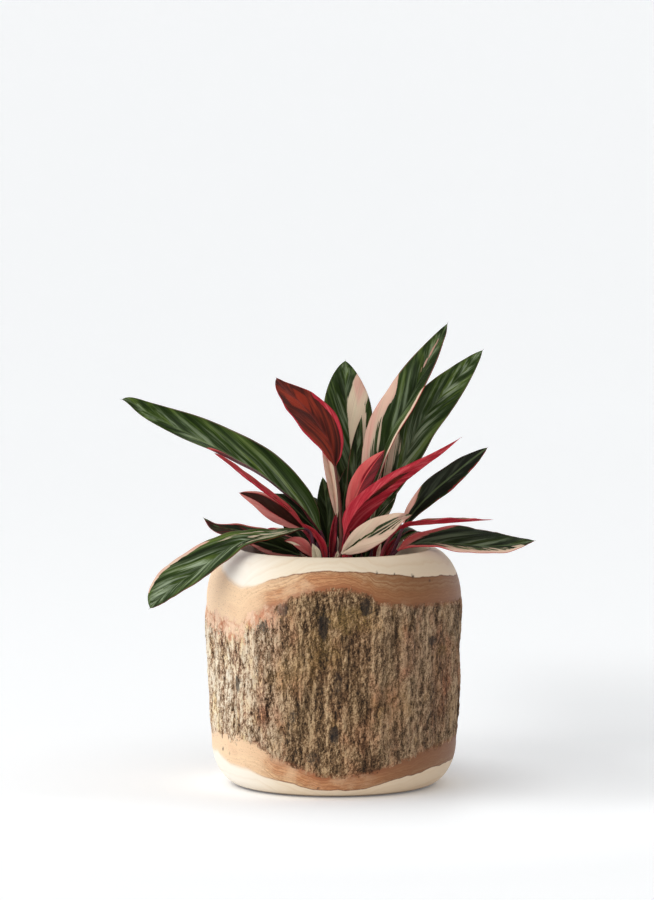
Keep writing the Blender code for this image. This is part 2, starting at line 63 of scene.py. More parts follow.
# The pot, as in the part's source.
POT_HEIGHT = 187 * MM
POT_RADIUS = 100.4 * MM
FOOT_RADIUS = 96.6 * MM
MOUTH_RADIUS = 74 * MM
SHOULDER_HEIGHT = 40 * MM
FOOT_FLAT_RADIUS = 72 * MM
FOOT_ROUNDING = 35 * MM
FLOOR_THICKNESS = 22 * MM
CAVITY_FOOT_RADIUS = 66 * MM
LIP_ROUNDING = 2.5 * MM
BARK_RELIEF = 1.9 * MM
BARK_PROUD = 0.8 * MM
BARK_RIDGES = 20
BARK_GRAIN = 7.0
BARK_STRETCH = 0.3
RIDGE_SHARE = 0.7
GRAIN_SHARE = 1.3
DRIFT_GRAIN = 0.35
DRIFT_TURN = 5
PLATE_RELIEF = 2.0 * MM

# Rows and columns of the fine pot.
POT_COLUMNS = 480
FOOT_ROWS = 26
WALL_ROWS = 92
SHOULDER_ROWS = 34
LIP_ROWS = 6
CAVITY_ROWS = 8

# The soil, and the chips that lie on it.
SOIL_TOP = 167 * MM
SOIL_GAP = 0.4 * MM
SOIL_DEPTH = 25 * MM
SOIL_ROWS = 44
SOIL_COLUMNS = 170
CHIPS = 330
CHIP_SPREAD = 66 * MM

# The edges of the pot's zones, as (degrees, height in mm): pale sapwood, tan inner bark, rough bark.
TAN_TOP = ((-160, 167), (-130, 173), (-100, 179), (-71, 175), (-55, 166), (-47, 163), (-39, 165), (-30, 171),
           (-20, 175), (-11, 177), (1, 178), (12, 177), (22, 176), (31, 174), (41, 171), (60, 170),
           (81, 167), (110, 169), (140, 175), (170, 171))
BARK_TOP = ((-165, 147), (-135, 153), (-110, 148), (-85, 142), (-58, 138), (-46, 135), (-41, 143),
            (-33, 149), (-26, 152), (-19, 158), (-13, 163), (-5, 164), (4, 166), (9, 164), (16, 161),
            (19, 155), (28, 152), (36, 151), (55, 150), (85, 148), (115, 152), (140, 158), (165, 151))
BARK_FOOT = ((-165, 37), (-135, 33), (-105, 41), (-79, 44), (-59, 44), (-49, 43), (-40, 42), (-34, 37),
             (-30, 31), (-21, 27), (-14, 22), (-7, 18), (6, 17), (19, 20), (28, 26), (37, 29),
             (51, 35), (65, 37), (84, 39), (110, 36), (140, 28), (165, 33))
TAN_FOOT = ((-160, 22), (-130, 19), (-100, 27), (-71, 30), (-58, 22), (-46, 21), (-37, 16), (-29, 14),
            (-21, 12), (-13, 8), (-7, 7), (6, 7), (15, 8), (28, 13), (38, 16), (53, 20),
            (74, 22), (105, 20), (140, 14), (170, 18))

# Marks on the bark, as (degrees, height in mm, half width in mm, half height in mm, strength).
DARK_STAINS = ((0, 53, 3.5, 8, 1.1), (-49, 87, 4, 7, 0.9), (-5, 136, 5, 10, 0.85), (15, 151, 4, 8, 0.85),
               (-33, 134, 6, 6, 0.7), (-23, 148, 5, 5, 0.8), (2, 93, 4, 11, 0.55), (-19, 66, 4, 5, 0.6),
               (-10, 32, 7, 6, 0.6), (50, 121, 5, 4, 0.8), (-3, 112, 3, 6, 0.5), (28, 40, 8, 4, 0.4),
               (-36, 100, 3, 9, 0.4), (95, 100, 6, 10, 0.7), (130, 70, 5, 9, 0.8), (165, 120, 7, 10, 0.7),
               (-150, 60, 5, 8, 0.8), (-110, 105, 6, 12, 0.7))
LICHENS = ((6, 141, 20, 9, 0.9), (-6, 122, 14, 12, 0.5), (60, 112, 8, 5, 0.6), (-20, 100, 18, 16, 0.35),
           (30, 75, 12, 16, 0.35), (120, 90, 18, 18, 0.7), (-150, 125, 20, 10, 0.8), (-100, 60, 14, 14, 0.5),
           (170, 110, 16, 20, 0.5))
RUSTY = ((58, 90, 16, 34, 0.8), (36, 112, 10, 18, 0.6), (28, 70, 10, 22, 0.5), (12, 120, 8, 22, 0.4),
         (-34, 78, 3, 40, 0.8), (-52, 100, 4, 34, 0.6), (90, 60, 14, 30, 0.6), (-140, 80, 16, 34, 0.6),
         (175, 60, 14, 24, 0.5), (-80, 60, 8, 20, 0.6))

# Dark dots along the inner bark, as (degrees, height in mm, radius in mm).
KNOTS = ((21, 176, 0.7), (30, 174.5, 0.6), (40, 172, 0.9), (50, 168, 0.6), (-64, 33, 0.8), (-58, 30, 0.6),
         (-8, 9, 0.6), (130, 170, 0.9), (-140, 168, 0.8), (95, 24, 0.8))

# The fine leaves.
STALK_ROWS = 12
BLADE_ROWS = 84
HALF_COLUMNS = 14
RING_POINTS = 4 * HALF_COLUMNS + 2
BLADE_ROOT_RADIUS = 1.1 * MM
LEAF_THICKNESS = 0.5 * MM
RIB_DEPTH = 1.0 * MM
GROOVE_DEPTH = 0.35 * MM
RIB_WIDTH = 0.9 * MM
BLADE_START_ROUND = 0.09
HAIR = 0.015
HAIR_RADIUS = 0.3 * MM
HAIR_TIP_RADIUS = 0.1 * MM
NARROW = 5 * MM
BASE_FULLNESS = 0.8
RIGHT_WAVE_PHASE = 1.9
SECTION_ARCH = 0.07
VEIN_SLOPE = 3.2
VEIN_BEND = 0.02 / MM
SECTOR_SLOPE = 2.1
STALK_FOOT = 2.1 * MM
STALK_DEPTH = 12 * MM

# A leaf's look, in order. pale is the share without green, from 0 to 1. pink runs from cream at 0 over pink
# to crimson at 1, dark from green to nearly black, the next is the strength of the silvery feathering, which
# is the leaf's own pattern with painted sheen in it, and margin that of the light edge.
LOOK_LABELS = ("stalk_colour", "pale", "pink", "dark", "feather_sheen", "margin")

# Leaf table, in millimetres. soil is where the stalk enters the soil. stalk and rib are points along the
# stalk and then along the midrib, from the foot of the blade to its tip. face is where the upper side looks,
# at the foot and at the tip. left and right are the half widths near the foot, in the middle and near the
# tip, as seen from above with the tip pointing away, and the two turns are the angles in degrees by which
# each half rises towards the upper side. widest is the place of the full width and blunt the fullness of the
# end: small is blunt. wave is the height, count and phase of the edge's waves. A sector is (half, from,
# to, inner, outer, pale, pink, dark): half is 1 for the leaf's left, -1 for its right and 0 for both, from
# and to are shares of the length and inner and outer shares of the half width.
LEAVES = {
    "leaf_long_left": dict(
        soil=(-8, 4), stalk=[(-8, 3, 180)],
        rib=[(-9, 2, 196), (-24, 0, 218), (-41, -3, 233), (-60, -6, 248), (-79, -9, 259), (-100, -12, 271),
             (-124, -15, 283), (-146, -18, 295), (-160, -20, 304), (-168, -22, 306)],
        face=((0.1, -1, 0.15), (0, -1, 0.25)),
        left=(8, 10, 12), left_turn=(-75, -78, -8), right=(18, 22, 17), right_turn=(-10, -22, 5),
        widest=0.36, blunt=0.62, wave=(2.2, 4, 40),
        look=("purple", 0, 0.5, 0, 0.6, 0.3),
        # Its left half, seen nearly edge-on, is painted dark maroon: painted shade on the half that turns
        # away.
        sectors=[(1, 0.02, 0.6, 0.24, 1.2, 1, 1.2, 0.1)],
    ),
    "leaf_rolled_left": dict(
        soil=(-6, -13), stalk=[(-7, -12, 183)],
        rib=[(-13, -12, 196), (-24, -15, 205), (-35, -19, 218), (-52, -23, 231), (-70, -27, 245),
             (-83, -30, 256), (-94, -33, 265)],
        face=((0.3, -0.5, 0.9), (0.3, -0.5, 0.9)),
        left=(3, 4, 5.5), left_turn=(60, 62, 58), right=(3, 4, 5.5), right_turn=(60, 62, 58),
        widest=0.5, blunt=0.5, wave=(0, 1, 0),
        look=("red", 1, 0.88, 0.2, 0, 0.3), slot="leaf_crimson",
        sectors=[(0, 0.35, 0.72, 0, 0.45, 0.5, 0.84, 0.3)],
    ),
    "leaf_coral_left": dict(
        soil=(-15, -4), stalk=[(-16, -4, 187)],
        rib=[(-23, -5, 200), (-36, -8, 208), (-49, -11, 216), (-61, -14, 225), (-75, -17, 232)],
        face=((0, -1, 0.3), (0, -1, 0.2)),
        left=(6, 6, 5), left_turn=(-20, -15, 0), right=(9, 12, 9), right_turn=(30, 30, 20),
        widest=0.5, blunt=0.7, wave=(0.8, 2, 0),
        look=("red", 1, 1.2, 1, 0, 0), slot="leaf_crimson",
        sectors=[(1, 0, 1.2, 0, 1.2, 1, 0.62, 0), (-1, 0, 1.2, 0.8, 1.2, 1, 0.5, 0.1)],
    ),
    "leaf_dark_left": dict(
        soil=(-19, 8), stalk=[(-20, 6, 181)],
        rib=[(-27, 4, 191), (-51, 8, 195), (-76, 12, 199), (-93, 15, 202), (-104, 18, 209)],
        face=((0.1, -0.5, 1), (0.2, -1, 0.6)),
        left=(9, 13, 8), left_turn=(10, 10, 10), right=(7, 7, 5), right_turn=(6, 6, 6),
        widest=0.45, blunt=0.8, wave=(0.8, 3, 0),
        look=("brown", 0.5, 1.16, 0.85, 0.1, 0.3),
        sectors=[(-1, 0, 1, 0.8, 1.1, 0.95, 0.6, 0.3)],
    ),
    "leaf_over_rim": dict(
        soil=(-15, -19), stalk=[(-16, -19, 184)],
        rib=[(-21, -20, 203), (-48, -32, 200), (-67, -40, 197), (-79, -45, 193), (-93, -51, 184),
             (-108, -55, 173), (-124, -59, 163), (-137, -62, 152), (-144, -64, 145)],
        face=((0, -0.45, 1), (-0.45, -1, 0.8)),
        left=(9, 13, 16), left_turn=(10, 15, 15), right=(8, 16, 28), right_turn=(14, 16, 8),
        widest=0.62, blunt=0.6, wave=(0.8, 3, 90),
        look=("purple", 0, 0.3, 0.08, 1.15, 0.2),
        sectors=[(-1, 0.4, 0.9, 0.86, 1.1, 1, 0.3, 0), (0, 0.06, 0.4, 0.1, 0.3, 0.56, 0.05, 0.1),
                 (0, 0.1, 0.46, 0.5, 0.7, 0.54, 0.05, 0.1)],
    ),
    "leaf_in_mouth_left": dict(
        soil=(-23, -8), stalk=[(-23, -8, 173)],
        rib=[(-27, -9, 181), (-42, -13, 188), (-58, -16, 193), (-73, -18, 195)],
        face=((0.1, -1, 0.5), (0.1, -1, 0.6)),
        left=(7, 9, 6), left_turn=(0, 0, 0), right=(7, 9, 6), right_turn=(12, 12, 12),
        widest=0.5, blunt=0.8, wave=(0, 1, 0),
        look=("brown", 0, 0.9, 0.9, 0, 0.2),
        sectors=[(1, 0, 1, 0.62, 1.1, 0.95, 0.6, 0.3)],
    ),
    "leaf_mauve_left": dict(
        soil=(-11, -25), stalk=[(-13, -25, 174)],
        rib=[(-17, -25, 182), (-23, -26, 189), (-31, -27, 194), (-39, -28, 195)],
        face=((0.4, -1, 0.4), (0, -0.8, 1)),
        left=(4, 5, 4), left_turn=(10, 10, 10), right=(4, 6, 4), right_turn=(25, 25, 25),
        widest=0.45, blunt=0.8, wave=(0, 1, 0),
        look=("red", 1, 0.72, 0.3, 0, 0.5), slot="leaf_peach",
        sectors=[(1, 0.5, 1, 0.2, 1.1, 1, 0.1, 0)],
    ),
    "leaf_red_back": dict(
        soil=(5, -6), stalk=[(6, -6, 195), (4, -6, 228)],
        rib=[(1, -7, 250), (-1, -9, 263), (-6, -9, 276), (-18, -5, 293), (-31, 0, 306), (-40, 5, 314),
             (-46, 8, 321)],
        face=((0.1, 1, 0.1), (0.3, 1, 0.5)),
        left=(14, 15, 6), left_turn=(25, 18, 12), right=(13, 16, 22), right_turn=(12, 10, 10),
        widest=0.48, blunt=0.56, wave=(0.8, 3, 20),
        look=("brown", 0.06, 0.3, 0.3, 0.3, 0.7), slot="leaf_crimson",
        sectors=[(0, 0.6, 0.84, 0, 0.6, 0.06, 0.9, 0.3), (1, 0, 0.5, 0.78, 1.1, 1, 0.8, 0),
                 (1, 0.3, 0.55, 0.2, 0.5, 0.06, 0.7, 0.3), (-1, 0, 0.9, 0.93, 1.1, 1, 0.9, 0)],
    ),
    "leaf_pale_upright": dict(
        soil=(0, 12), stalk=[(1, 12, 190)],
        rib=[(2, 12, 208), (1, 12, 222), (-1, 13, 236), (-4, 14, 251), (-7, 16, 265), (-9, 18, 277)],
        face=((0, -1, 0.2), (0, -1, 0.3)),
        left=(4, 5, 4), left_turn=(20, 30, 20), right=(4, 6, 5), right_turn=(25, 35, 25),
        widest=0.45, blunt=0.75, wave=(0, 1, 0),
        look=("purple", 1, 0.3, 0, 0.2, 0.2), slot="leaf_peach",
        sectors=[(-1, 0, 1.2, 0.4, 1.1, 1, 0.1, 0), (0, 0.7, 1.2, 0, 1.2, 1, 0.42, 0)],
    ),
    "leaf_centre_tall": dict(
        soil=(15, 19), stalk=[(16, 20, 195)],
        rib=[(15, 23, 218), (14, 27, 248), (12, 31, 273), (10, 34, 298), (9, 37, 317), (9, 40, 333)],
        face=((0, -1, 0.1), (0, -1, 0.25)),
        left=(17, 19, 19), left_turn=(12, 8, 5), right=(17, 20, 19), right_turn=(14, 12, 8),
        widest=0.6, blunt=0.67, wave=(0.8, 3, 60),
        look=("purple", 0, 0.3, 0.3, 0.45, 0.1),
        sectors=[(-1, 0.22, 0.82, 0, 1.2, 0.8, 0.1, 0), (-1, 0.6, 0.82, 0.45, 1.2, 1, 0.4, 0),
                 (-1, 0, 0.5, 0.76, 1.2, 0.02, 0.2, 0.2)],
    ),
    "leaf_tall_right": dict(
        soil=(22, 3), stalk=[(22, 4, 192)],
        rib=[(24, 5, 214), (32, 5, 240), (39, 6, 262), (47, 7, 281), (58, 8, 300), (68, 8, 320),
             (78, 7, 340), (90, 6, 365)],
        face=((-0.3, -1, 0.1), (-0.1, -1, 0.2)),
        left=(19, 20, 17), left_turn=(14, 10, 8), right=(11, 15, 15), right_turn=(44, 58, 34),
        widest=0.5, blunt=0.8, wave=(1, 3, 0),
        look=("purple", 0, 0.4, 0.38, 0.5, 0.4),
        sectors=[(1, 0, 0.56, 0.6, 1.2, 0.95, 0.36, 0), (1, 0, 0.4, 0.25, 0.62, 0.5, 0.12, 0.2),
                 (1, 0.8, 1, 0.1, 0.2, 0.95, 0.35, 0), (-1, 0, 0.6, 0.82, 1.1, 1, 0.12, 0)],
    ),
    "leaf_upper_right": dict(
        soil=(33, 8), stalk=[(32, 12, 186)],
        rib=[(29, 17, 205), (37, 20, 217), (47, 22, 236), (58, 24, 260), (68, 26, 282), (82, 28, 301),
             (100, 30, 321), (119, 32, 342)],
        face=((0, -1, 0.2), (-0.1, -1, 0.35)),
        left=(19, 17, 14), left_turn=(18, 16, 12), right=(9, 15, 15), right_turn=(10, 12, 10),
        widest=0.56, blunt=0.74, wave=(1.2, 3, 120),
        look=("purple", 0, 0.2, 0.12, 0.85, 0.2),
        sectors=[(0, 0, 0.22, 0, 1.2, 0.6, 0.1, 0.2), (1, 0.1, 0.42, 0.35, 1.2, 0.5, 0.1, 0.1)],
    ),
    "leaf_crimson_front": dict(
        soil=(10, -13), stalk=[(10, -13, 186)],
        rib=[(8, -15, 196), (16, -20, 215), (30, -23, 231), (45, -25, 243), (63, -27, 254),
             (80, -29, 264), (100, -32, 277)],
        face=((0.1, 1, 0.1), (0.1, 1, 0.1)),
        left=(15, 14, 7), left_turn=(40, 42, 40), right=(12, 6, 4), right_turn=(30, 32, 40),
        widest=0.22, blunt=0.94, wave=(0.6, 2, 0),
        look=("red", 1, 1, 0.2, 0, 0), slot="leaf_crimson",
        sectors=[(1, 0.34, 0.66, 0, 0.5, 0.3, 0.3, 0.2)],
    ),
    "leaf_crimson_behind": dict(
        soil=(14, -4), stalk=[(12, -4, 190)],
        rib=[(11, -5, 206), (17, -5, 227), (26, -6, 246), (40, -8, 265)],
        face=((-0.4, -1, 0.3), (-0.4, -1, 0.3)),
        left=(8, 9, 8), left_turn=(10, 12, 10), right=(6, 9, 9), right_turn=(12, 14, 10),
        widest=0.55, blunt=0.8, wave=(0, 1, 0),
        look=("red", 1, 0.76, 0, 0, 0), slot="leaf_crimson",
        sectors=[(-1, 0.2, 1.2, 0.12, 1.2, 1, 1.15, 0.3), (1, 0.6, 1.2, 0, 0.2, 1, 1.1, 0.2)],
    ),
    "leaf_dark_right": dict(
        soil=(44, -2), stalk=[(46, -2, 182), (50, -3, 192)],
        rib=[(54, -4, 202), (63, -6, 216), (77, -9, 231), (93, -12, 245), (107, -15, 257), (121, -18, 268)],
        face=((-0.1, -1, 0.5), (-0.1, -1, 0.4)),
        left=(13, 10, 9), left_turn=(12, 10, 8), right=(8, 9, 9), right_turn=(-48, -42, -30),
        widest=0.5, blunt=0.74, wave=(0.8, 3, 0),
        look=("purple", 0, 0.6, 1.05, 0.1, 0.2),
        sectors=[(1, 0, 0.26, 0.4, 1.2, 0.95, 0.45, 0), (-1, 0, 1.2, 0.85, 1.2, 0.6, 1.1, 0.3)],
    ),
    "leaf_peach_front": dict(
        soil=(3, -31), stalk=[(3, -31, 176)],
        rib=[(5, -31, 184), (16, -33, 192), (28, -36, 200), (41, -39, 208), (51, -41, 214), (61, -43, 217)],
        face=((-0.1, -1, 0.35), (-0.2, -1, 0.5)),
        left=(10, 11, 8), left_turn=(10, 12, 5), right=(9, 11, 9), right_turn=(6, 8, 5),
        widest=0.42, blunt=0.72, wave=(0.5, 2, 0),
        look=("brown", 1, 0.24, 0.16, 0.2, 0.5), slot="leaf_peach",
        sectors=[(-1, 0.46, 1.1, 0.02, 0.2, 0, 0.2, 1), (-1, 0.5, 1.1, 0.3, 0.46, 0.1, 0.2, 0.9),
                 (-1, 0.62, 1.1, 0.58, 0.7, 0.2, 0.2, 0.8), (1, 0.16, 0.6, 0.02, 0.2, 0.25, 0.2, 0.1),
                 (1, 0.55, 1.1, 0.1, 0.3, 0.1, 0.2, 0.8), (0, 0.9, 1.2, 0, 1.2, 0.6, 0.4, 0.6)],
    ),
    "leaf_narrow_right": dict(
        soil=(36, -17), stalk=[(38, -17, 184)],
        rib=[(46, -17, 199), (57, -19, 206), (75, -22, 208), (99, -26, 210), (125, -30, 212)],
        face=((0, 0.15, 1), (0, 0.15, 1)),
        left=(7, 11, 7), left_turn=(20, 24, 20), right=(7, 11, 7), right_turn=(12, 12, 12),
        widest=0.42, blunt=0.9, wave=(0, 1, 0),
        look=("red", 0.9, 0.9, 0.2, 0.1, 0.6), slot="leaf_crimson",
        sectors=[(1, 0.2, 1, 0.1, 0.8, 0.4, 0.6, 0)],
    ),
    "leaf_low_right": dict(
        soil=(46, -12), stalk=[(46, -12, 177)],
        rib=[(48, -12, 184), (59, -13, 190), (73, -15, 192), (89, -19, 192), (108, -24, 191),
             (131, -29, 191), (158, -35, 196)],
        face=((-0.1, -0.8, 1), (0, -0.7, 1)),
        left=(14, 19, 14), left_turn=(6, 6, 4), right=(8, 11, 12), right_turn=(20, 14, -16),
        widest=0.45, blunt=0.75, wave=(0.8, 3, 0),
        look=("purple", 0, 0.5, 0.8, 0.35, 0.4),
        sectors=[(0, 0, 0.2, 0, 1.1, 0.97, 0.78, 0), (-1, 0.3, 1, 0.3, 1.1, 0.48, 0.2, 0.3),
                 (-1, 0.3, 0.92, 0.76, 1.1, 1.1, 0.3, 0), (-1, 0.14, 0.32, 0.7, 1.1, 0.95, 0.8, 0)],
    ),
    "leaf_dark_behind_left": dict(
        soil=(-12, 15), stalk=[(-12, 15, 184)],
        rib=[(-14, 15, 198), (-24, 16, 209), (-36, 18, 220), (-47, 20, 228)],
        face=((0.1, -1, 0.6), (0.1, -1, 0.6)),
        left=(8, 10, 7), left_turn=(0, 0, 0), right=(8, 10, 7), right_turn=(10, 10, 10),
        widest=0.5, blunt=0.8, wave=(0, 1, 0),
        look=("purple", 0, 0.9, 0.9, 0, 0.3),
        sectors=[],
    ),
    "leaf_back_tall": dict(
        soil=(8, 28), stalk=[(9, 32, 192)],
        rib=[(11, 42, 218), (13, 58, 242), (14, 80, 258), (15, 104, 262), (16, 126, 252)],
        face=((0, -0.8, 0.6), (0, 0.3, 1)),
        left=(14, 19, 15), left_turn=(14, 12, 8), right=(14, 19, 15), right_turn=(14, 12, 8),
        widest=0.5, blunt=0.72, wave=(1.2, 3, 30),
        look=("purple", 0.02, 0.3, 0.15, 0.8, 0.4),
        sectors=[(-1, 0.15, 0.6, 0.3, 1.1, 0.85, 0.3, 0)],
    ),
    "leaf_back_right": dict(
        soil=(30, 24), stalk=[(31, 27, 190)],
        rib=[(33, 34, 208), (36, 48, 228), (38, 68, 240), (40, 90, 238), (42, 110, 226)],
        face=((0, -0.8, 0.7), (0.1, 0.4, 1)),
        left=(12, 17, 13), left_turn=(12, 10, 8), right=(12, 17, 13), right_turn=(12, 10, 8),
        widest=0.5, blunt=0.72, wave=(1, 3, 150),
        look=("red", 0.02, 0.4, 0.3, 0.7, 0.4),
        sectors=[(1, 0.3, 0.85, 0.45, 1.1, 0.85, 0.45, 0)],
    ),
    "leaf_back_low_left": dict(
        soil=(-8, 28), stalk=[(-10, 32, 178)],
        rib=[(-16, 42, 187), (-28, 62, 193), (-40, 84, 190), (-54, 106, 177), (-66, 124, 156)],
        face=((0.2, -0.3, 1), (-0.3, 0.7, 1)),
        left=(12, 17, 13), left_turn=(8, 6, 4), right=(12, 17, 13), right_turn=(8, 6, 4),
        widest=0.48, blunt=0.72, wave=(1, 3, 0),
        look=("purple", 0, 0.3, 0.2, 0.9, 0.5),
        sectors=[(1, 0, 0.4, 0.5, 1.1, 0.8, 0.3, 0)],
    ),
    "leaf_back_low_right": dict(
        soil=(42, 12), stalk=[(44, 18, 178)],
        rib=[(48, 30, 186), (54, 50, 192), (60, 74, 191), (68, 98, 180), (76, 118, 161)],
        face=((0, -0.3, 1), (0.3, 0.7, 1)),
        left=(11, 16, 13), left_turn=(8, 6, 4), right=(11, 16, 13), right_turn=(8, 6, 4),
        widest=0.48, blunt=0.72, wave=(1, 3, 70),
        look=("brown", 0.05, 0.5, 0.35, 0.6, 0.5),
        sectors=[(-1, 0.4, 1, 0.2, 1.1, 0.8, 0.4, 0)],
    ),
    "leaf_back_middle": dict(
        soil=(20, 32), stalk=[(20, 38, 184)],
        rib=[(19, 48, 202), (16, 68, 216), (10, 90, 220), (4, 114, 211), (0, 132, 194)],
        face=((0, -0.6, 0.9), (-0.1, 0.5, 1)),
        left=(12, 17, 13), left_turn=(12, 10, 8), right=(12, 17, 13), right_turn=(12, 10, 8),
        widest=0.48, blunt=0.72, wave=(1.2, 3, 100),
        look=("red", 0, 0.25, 0.2, 0.8, 0.3),
        sectors=[(0, 0, 0.25, 0.3, 1.1, 0.8, 0.3, 0), (1, 0.55, 0.8, 0.6, 1.1, 0.8, 0.2, 0)],
    ),
}

# Small foliage at the heart of the plant and behind it, in the same millimetres: where it enters the soil,
# the points of its rib, where its upper side looks, its half width, the rise of its halves in degrees, and
# its look: the stalk, pale, pink, dark, silvery feathering with painted sheen, margin. The nearly black ones
# deep in the mouth are partly painted shade, for the dark among the stalks.
SMALL_LEAVES = (
    ((-2, -2), [(-2, -2, 174), (-1, 0, 196), (2, 4, 214)], (0.2, -1, 0), 3.2, 56,
     ("purple", 1, 1.12, 0, 0, 0)),
    ((-5, -13), [(-6, -13, 174), (-9, -13, 188), (-16, -13, 199), (-26, -15, 208)],
     (0.3, -0.8, 0.5), 3.8, 50,
     ("red", 1, 0.98, 0, 0, 0.6)),
    ((8, -15), [(8, -15, 175), (9, -15, 190), (11, -16, 206)], (0.1, 1, 0), 3.4, 50,
     ("red", 1, 1, 0, 0, 0)),
    ((-13, -27), [(-13, -28, 173), (-14, -28, 184), (-17, -28, 193)], (0.3, -1, 0.3), 4, 20,
     ("brown", 1, 0, 0, 0, 0.2)),
    ((2, -25), [(2, -25, 173), (2, -25, 180), (3, -25, 187)], (0.3, -1, 0.2), 2.6, 40,
     ("brown", 1, 0.05, 0, 0, 0)),
    ((-5, 20), [(-5, 20, 184), (-5, 21, 208), (-7, 22, 226), (-9, 23, 241)], (0, -1, 0.3), 8, 8,
     ("purple", 0, 0.5, 0.6, 0.2, 0)),
    ((4, 14), [(5, 15, 188), (7, 16, 214), (9, 17, 234), (11, 18, 251)], (0, -1, 0.2), 8, 10,
     ("purple", 0, 0.2, 0.6, 0.2, 0.4)),
    ((-14, 12), [(-16, 13, 176), (-24, 17, 190), (-33, 21, 201), (-42, 25, 208)], (0, -0.9, 0.6), 10, 8,
     ("purple", 0, 0.5, 0.9, 0.1, 0)),
    ((-26, 4), [(-28, 5, 174), (-38, 8, 184), (-50, 11, 191)], (0, -0.9, 0.6), 9, 8,
     ("brown", 0, 1, 0.95, 0, 0)),
    ((-4, 24), [(-5, 25, 178), (-8, 28, 196), (-12, 32, 212), (-17, 37, 224)], (0, -0.9, 0.5), 11, 8,
     ("purple", 0, 0.5, 0.9, 0.3, 0)),
    ((12, 24), [(12, 25, 178), (14, 28, 200), (17, 32, 222), (20, 37, 240)], (0, -0.9, 0.4), 12, 8,
     ("purple", 0, 0.5, 0.85, 0.3, 0)),
    ((26, 14), [(27, 15, 176), (31, 18, 192), (37, 22, 206), (43, 26, 214)], (0, -0.9, 0.5), 10, 8,
     ("purple", 0, 0.5, 0.9, 0.2, 0)),
    ((34, 2), [(36, 2, 176), (42, 3, 188), (50, 4, 197)], (0, -0.9, 0.6), 8, 8,
     ("brown", 0, 1, 0.95, 0, 0)),
    ((30, -6), [(31, -6, 176), (34, -6, 188), (39, -7, 199)], (0, -1, 0.2), 2.6, 40,
     ("purple", 1, 1.15, 0, 0, 0)),
    ((38, -9), [(39, -9, 175), (43, -9, 186), (49, -9, 196)], (0, -1, 0.2), 2.6, 40,
     ("purple", 1, 1.15, 0, 0, 0)),
    ((33, -12), [(34, -12, 175), (35, -12, 184), (37, -12, 192)], (0, -1, 0.2), 1.6, 30,
     ("brown", 1, 0.1, 0, 0, 0)),
    ((24, -10), [(24, -10, 175), (26, -10, 190), (29, -9, 204)], (0, -1, 0.2), 4, 30,
     ("purple", 0, 1, 1, 0, 0)),
    ((16, -6), [(17, -6, 175), (19, -5, 194), (23, -4, 212)], (0, -1, 0.2), 6, 20,
     ("purple", 0, 1, 0.9, 0, 0)),
    ((30, 6), [(29, 8, 188), (32, 9, 206), (41, 10, 226), (52, 11, 250)], (0, -1, 0.2), 8.5, 12,
     ("purple", 0.42, 0.12, 0.1, 0.9, 0.3)),
    ((16, 12), [(16, 14, 190), (16, 16, 225), (18, 18, 262), (22, 19, 290)], (0.2, -1, 0.2), 6.5, 12,
     ("purple", 0, 0.3, 0.5, 0.5, 0.2)),
    ((16, 34), [(16, 38, 200), (17, 44, 236), (17, 54, 268), (16, 68, 288)], (0, -0.9, 0.4), 14, 10,
     ("purple", 0, 0.3, 0.2, 0.7, 0.3)),
    ((-18, 26), [(-20, 30, 186), (-28, 44, 206), (-38, 62, 214), (-50, 82, 208)], (0.1, -0.5, 1), 14, 8,
     ("red", 0, 0.3, 0.2, 0.8, 0.3)),
    ((34, 30), [(36, 34, 180), (44, 46, 192), (54, 60, 197), (68, 78, 188)], (0, -0.4, 1), 13, 8,
     ("purple", 0.05, 0.4, 0.3, 0.7, 0.3)),
    ((-22, 16), [(-25, 20, 176), (-40, 32, 184), (-58, 46, 185), (-76, 60, 178)], (0.1, -0.3, 1), 12, 6,
     ("brown", 0, 0.3, 0.4, 0.8, 0.3)),
)


def mix(low, high, share):
    return low + (high - low) * share


def smooth(share):
    share = min(max(share, 0), 1)
    return share * share * (3 - 2 * share)


def box(value, low, high, soft):
    """1 between low and high, 0 outside, with soft edges."""
    return smooth((value - low) / soft + 0.5) * smooth((high - value) / soft + 0.5)


def paint(red, green, blue):
    """A screen colour from 0 to 255 as the linear colour that shaders take."""
    shares = (channel / 255 for channel in (red, green, blue))
    return (*(s / 12.92 if s <= 0.04045 else ((s + 0.055) / 1.055) ** 2.4 for s in shares), 1)


# Making pieces


def finished(name, work):
    """The mesh of a bmesh, which is freed."""
    mesh = bpy.data.meshes.new(name)
    work.to_mesh(mesh)
    work.free()
    return mesh


def show(mesh, finishes, nodes=()):
    """Adds a finished mesh as a piece of the object, under the mesh's name."""
    piece = bpy.data.objects.new(mesh.name, mesh)
    for finish in finishes:
        mesh.materials.append(finish)
    bpy.context.scene.collection.objects.link(piece)
    mesh.shade_smooth()
    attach(piece, BODY)
    if nodes:
        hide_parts(*nodes)


def put_values(mesh, name, values):
    """Stores one number for each vertex."""
    mesh.attributes.new(name, "FLOAT", "POINT").data.foreach_set("value", values)


# Shader helpers. A colour is a socket or a screen colour of three numbers.


def fill(tree, node, inputs):
    """Links or sets the inputs of a node."""
    for name, value in inputs.items():
        if isinstance(value, bpy.types.NodeSocket):
            tree.links.new(value, node.inputs[name])
        else:
            node.inputs[name].default_value = value


def add_node(tree, kind, inputs=None, **settings):
    """A shader node with its settings, and its inputs linked or set."""
    made = tree.nodes.new("ShaderNode" + kind)
    for name, value in settings.items():
        setattr(made, name, value)
    fill(tree, made, inputs or {})
    return made


def maths(tree, operation, first, second=0.0, clamp=False):
    made = add_node(tree, "Math", {0: first, 1: second}, operation=operation, use_clamp=clamp)
    return made.outputs["Value"]


def plus(tree, first, second, clamp=False):
    return maths(tree, "ADD", first, second, clamp)


def minus(tree, first, second):
    return maths(tree, "SUBTRACT", first, second)


def times(tree, first, second, clamp=False):
    return maths(tree, "MULTIPLY", first, second, clamp)


def swing(tree, noise_value, strength):
    """Noise round a half as a swing round 0."""
    return times(tree, minus(tree, noise_value, 0.5), strength)


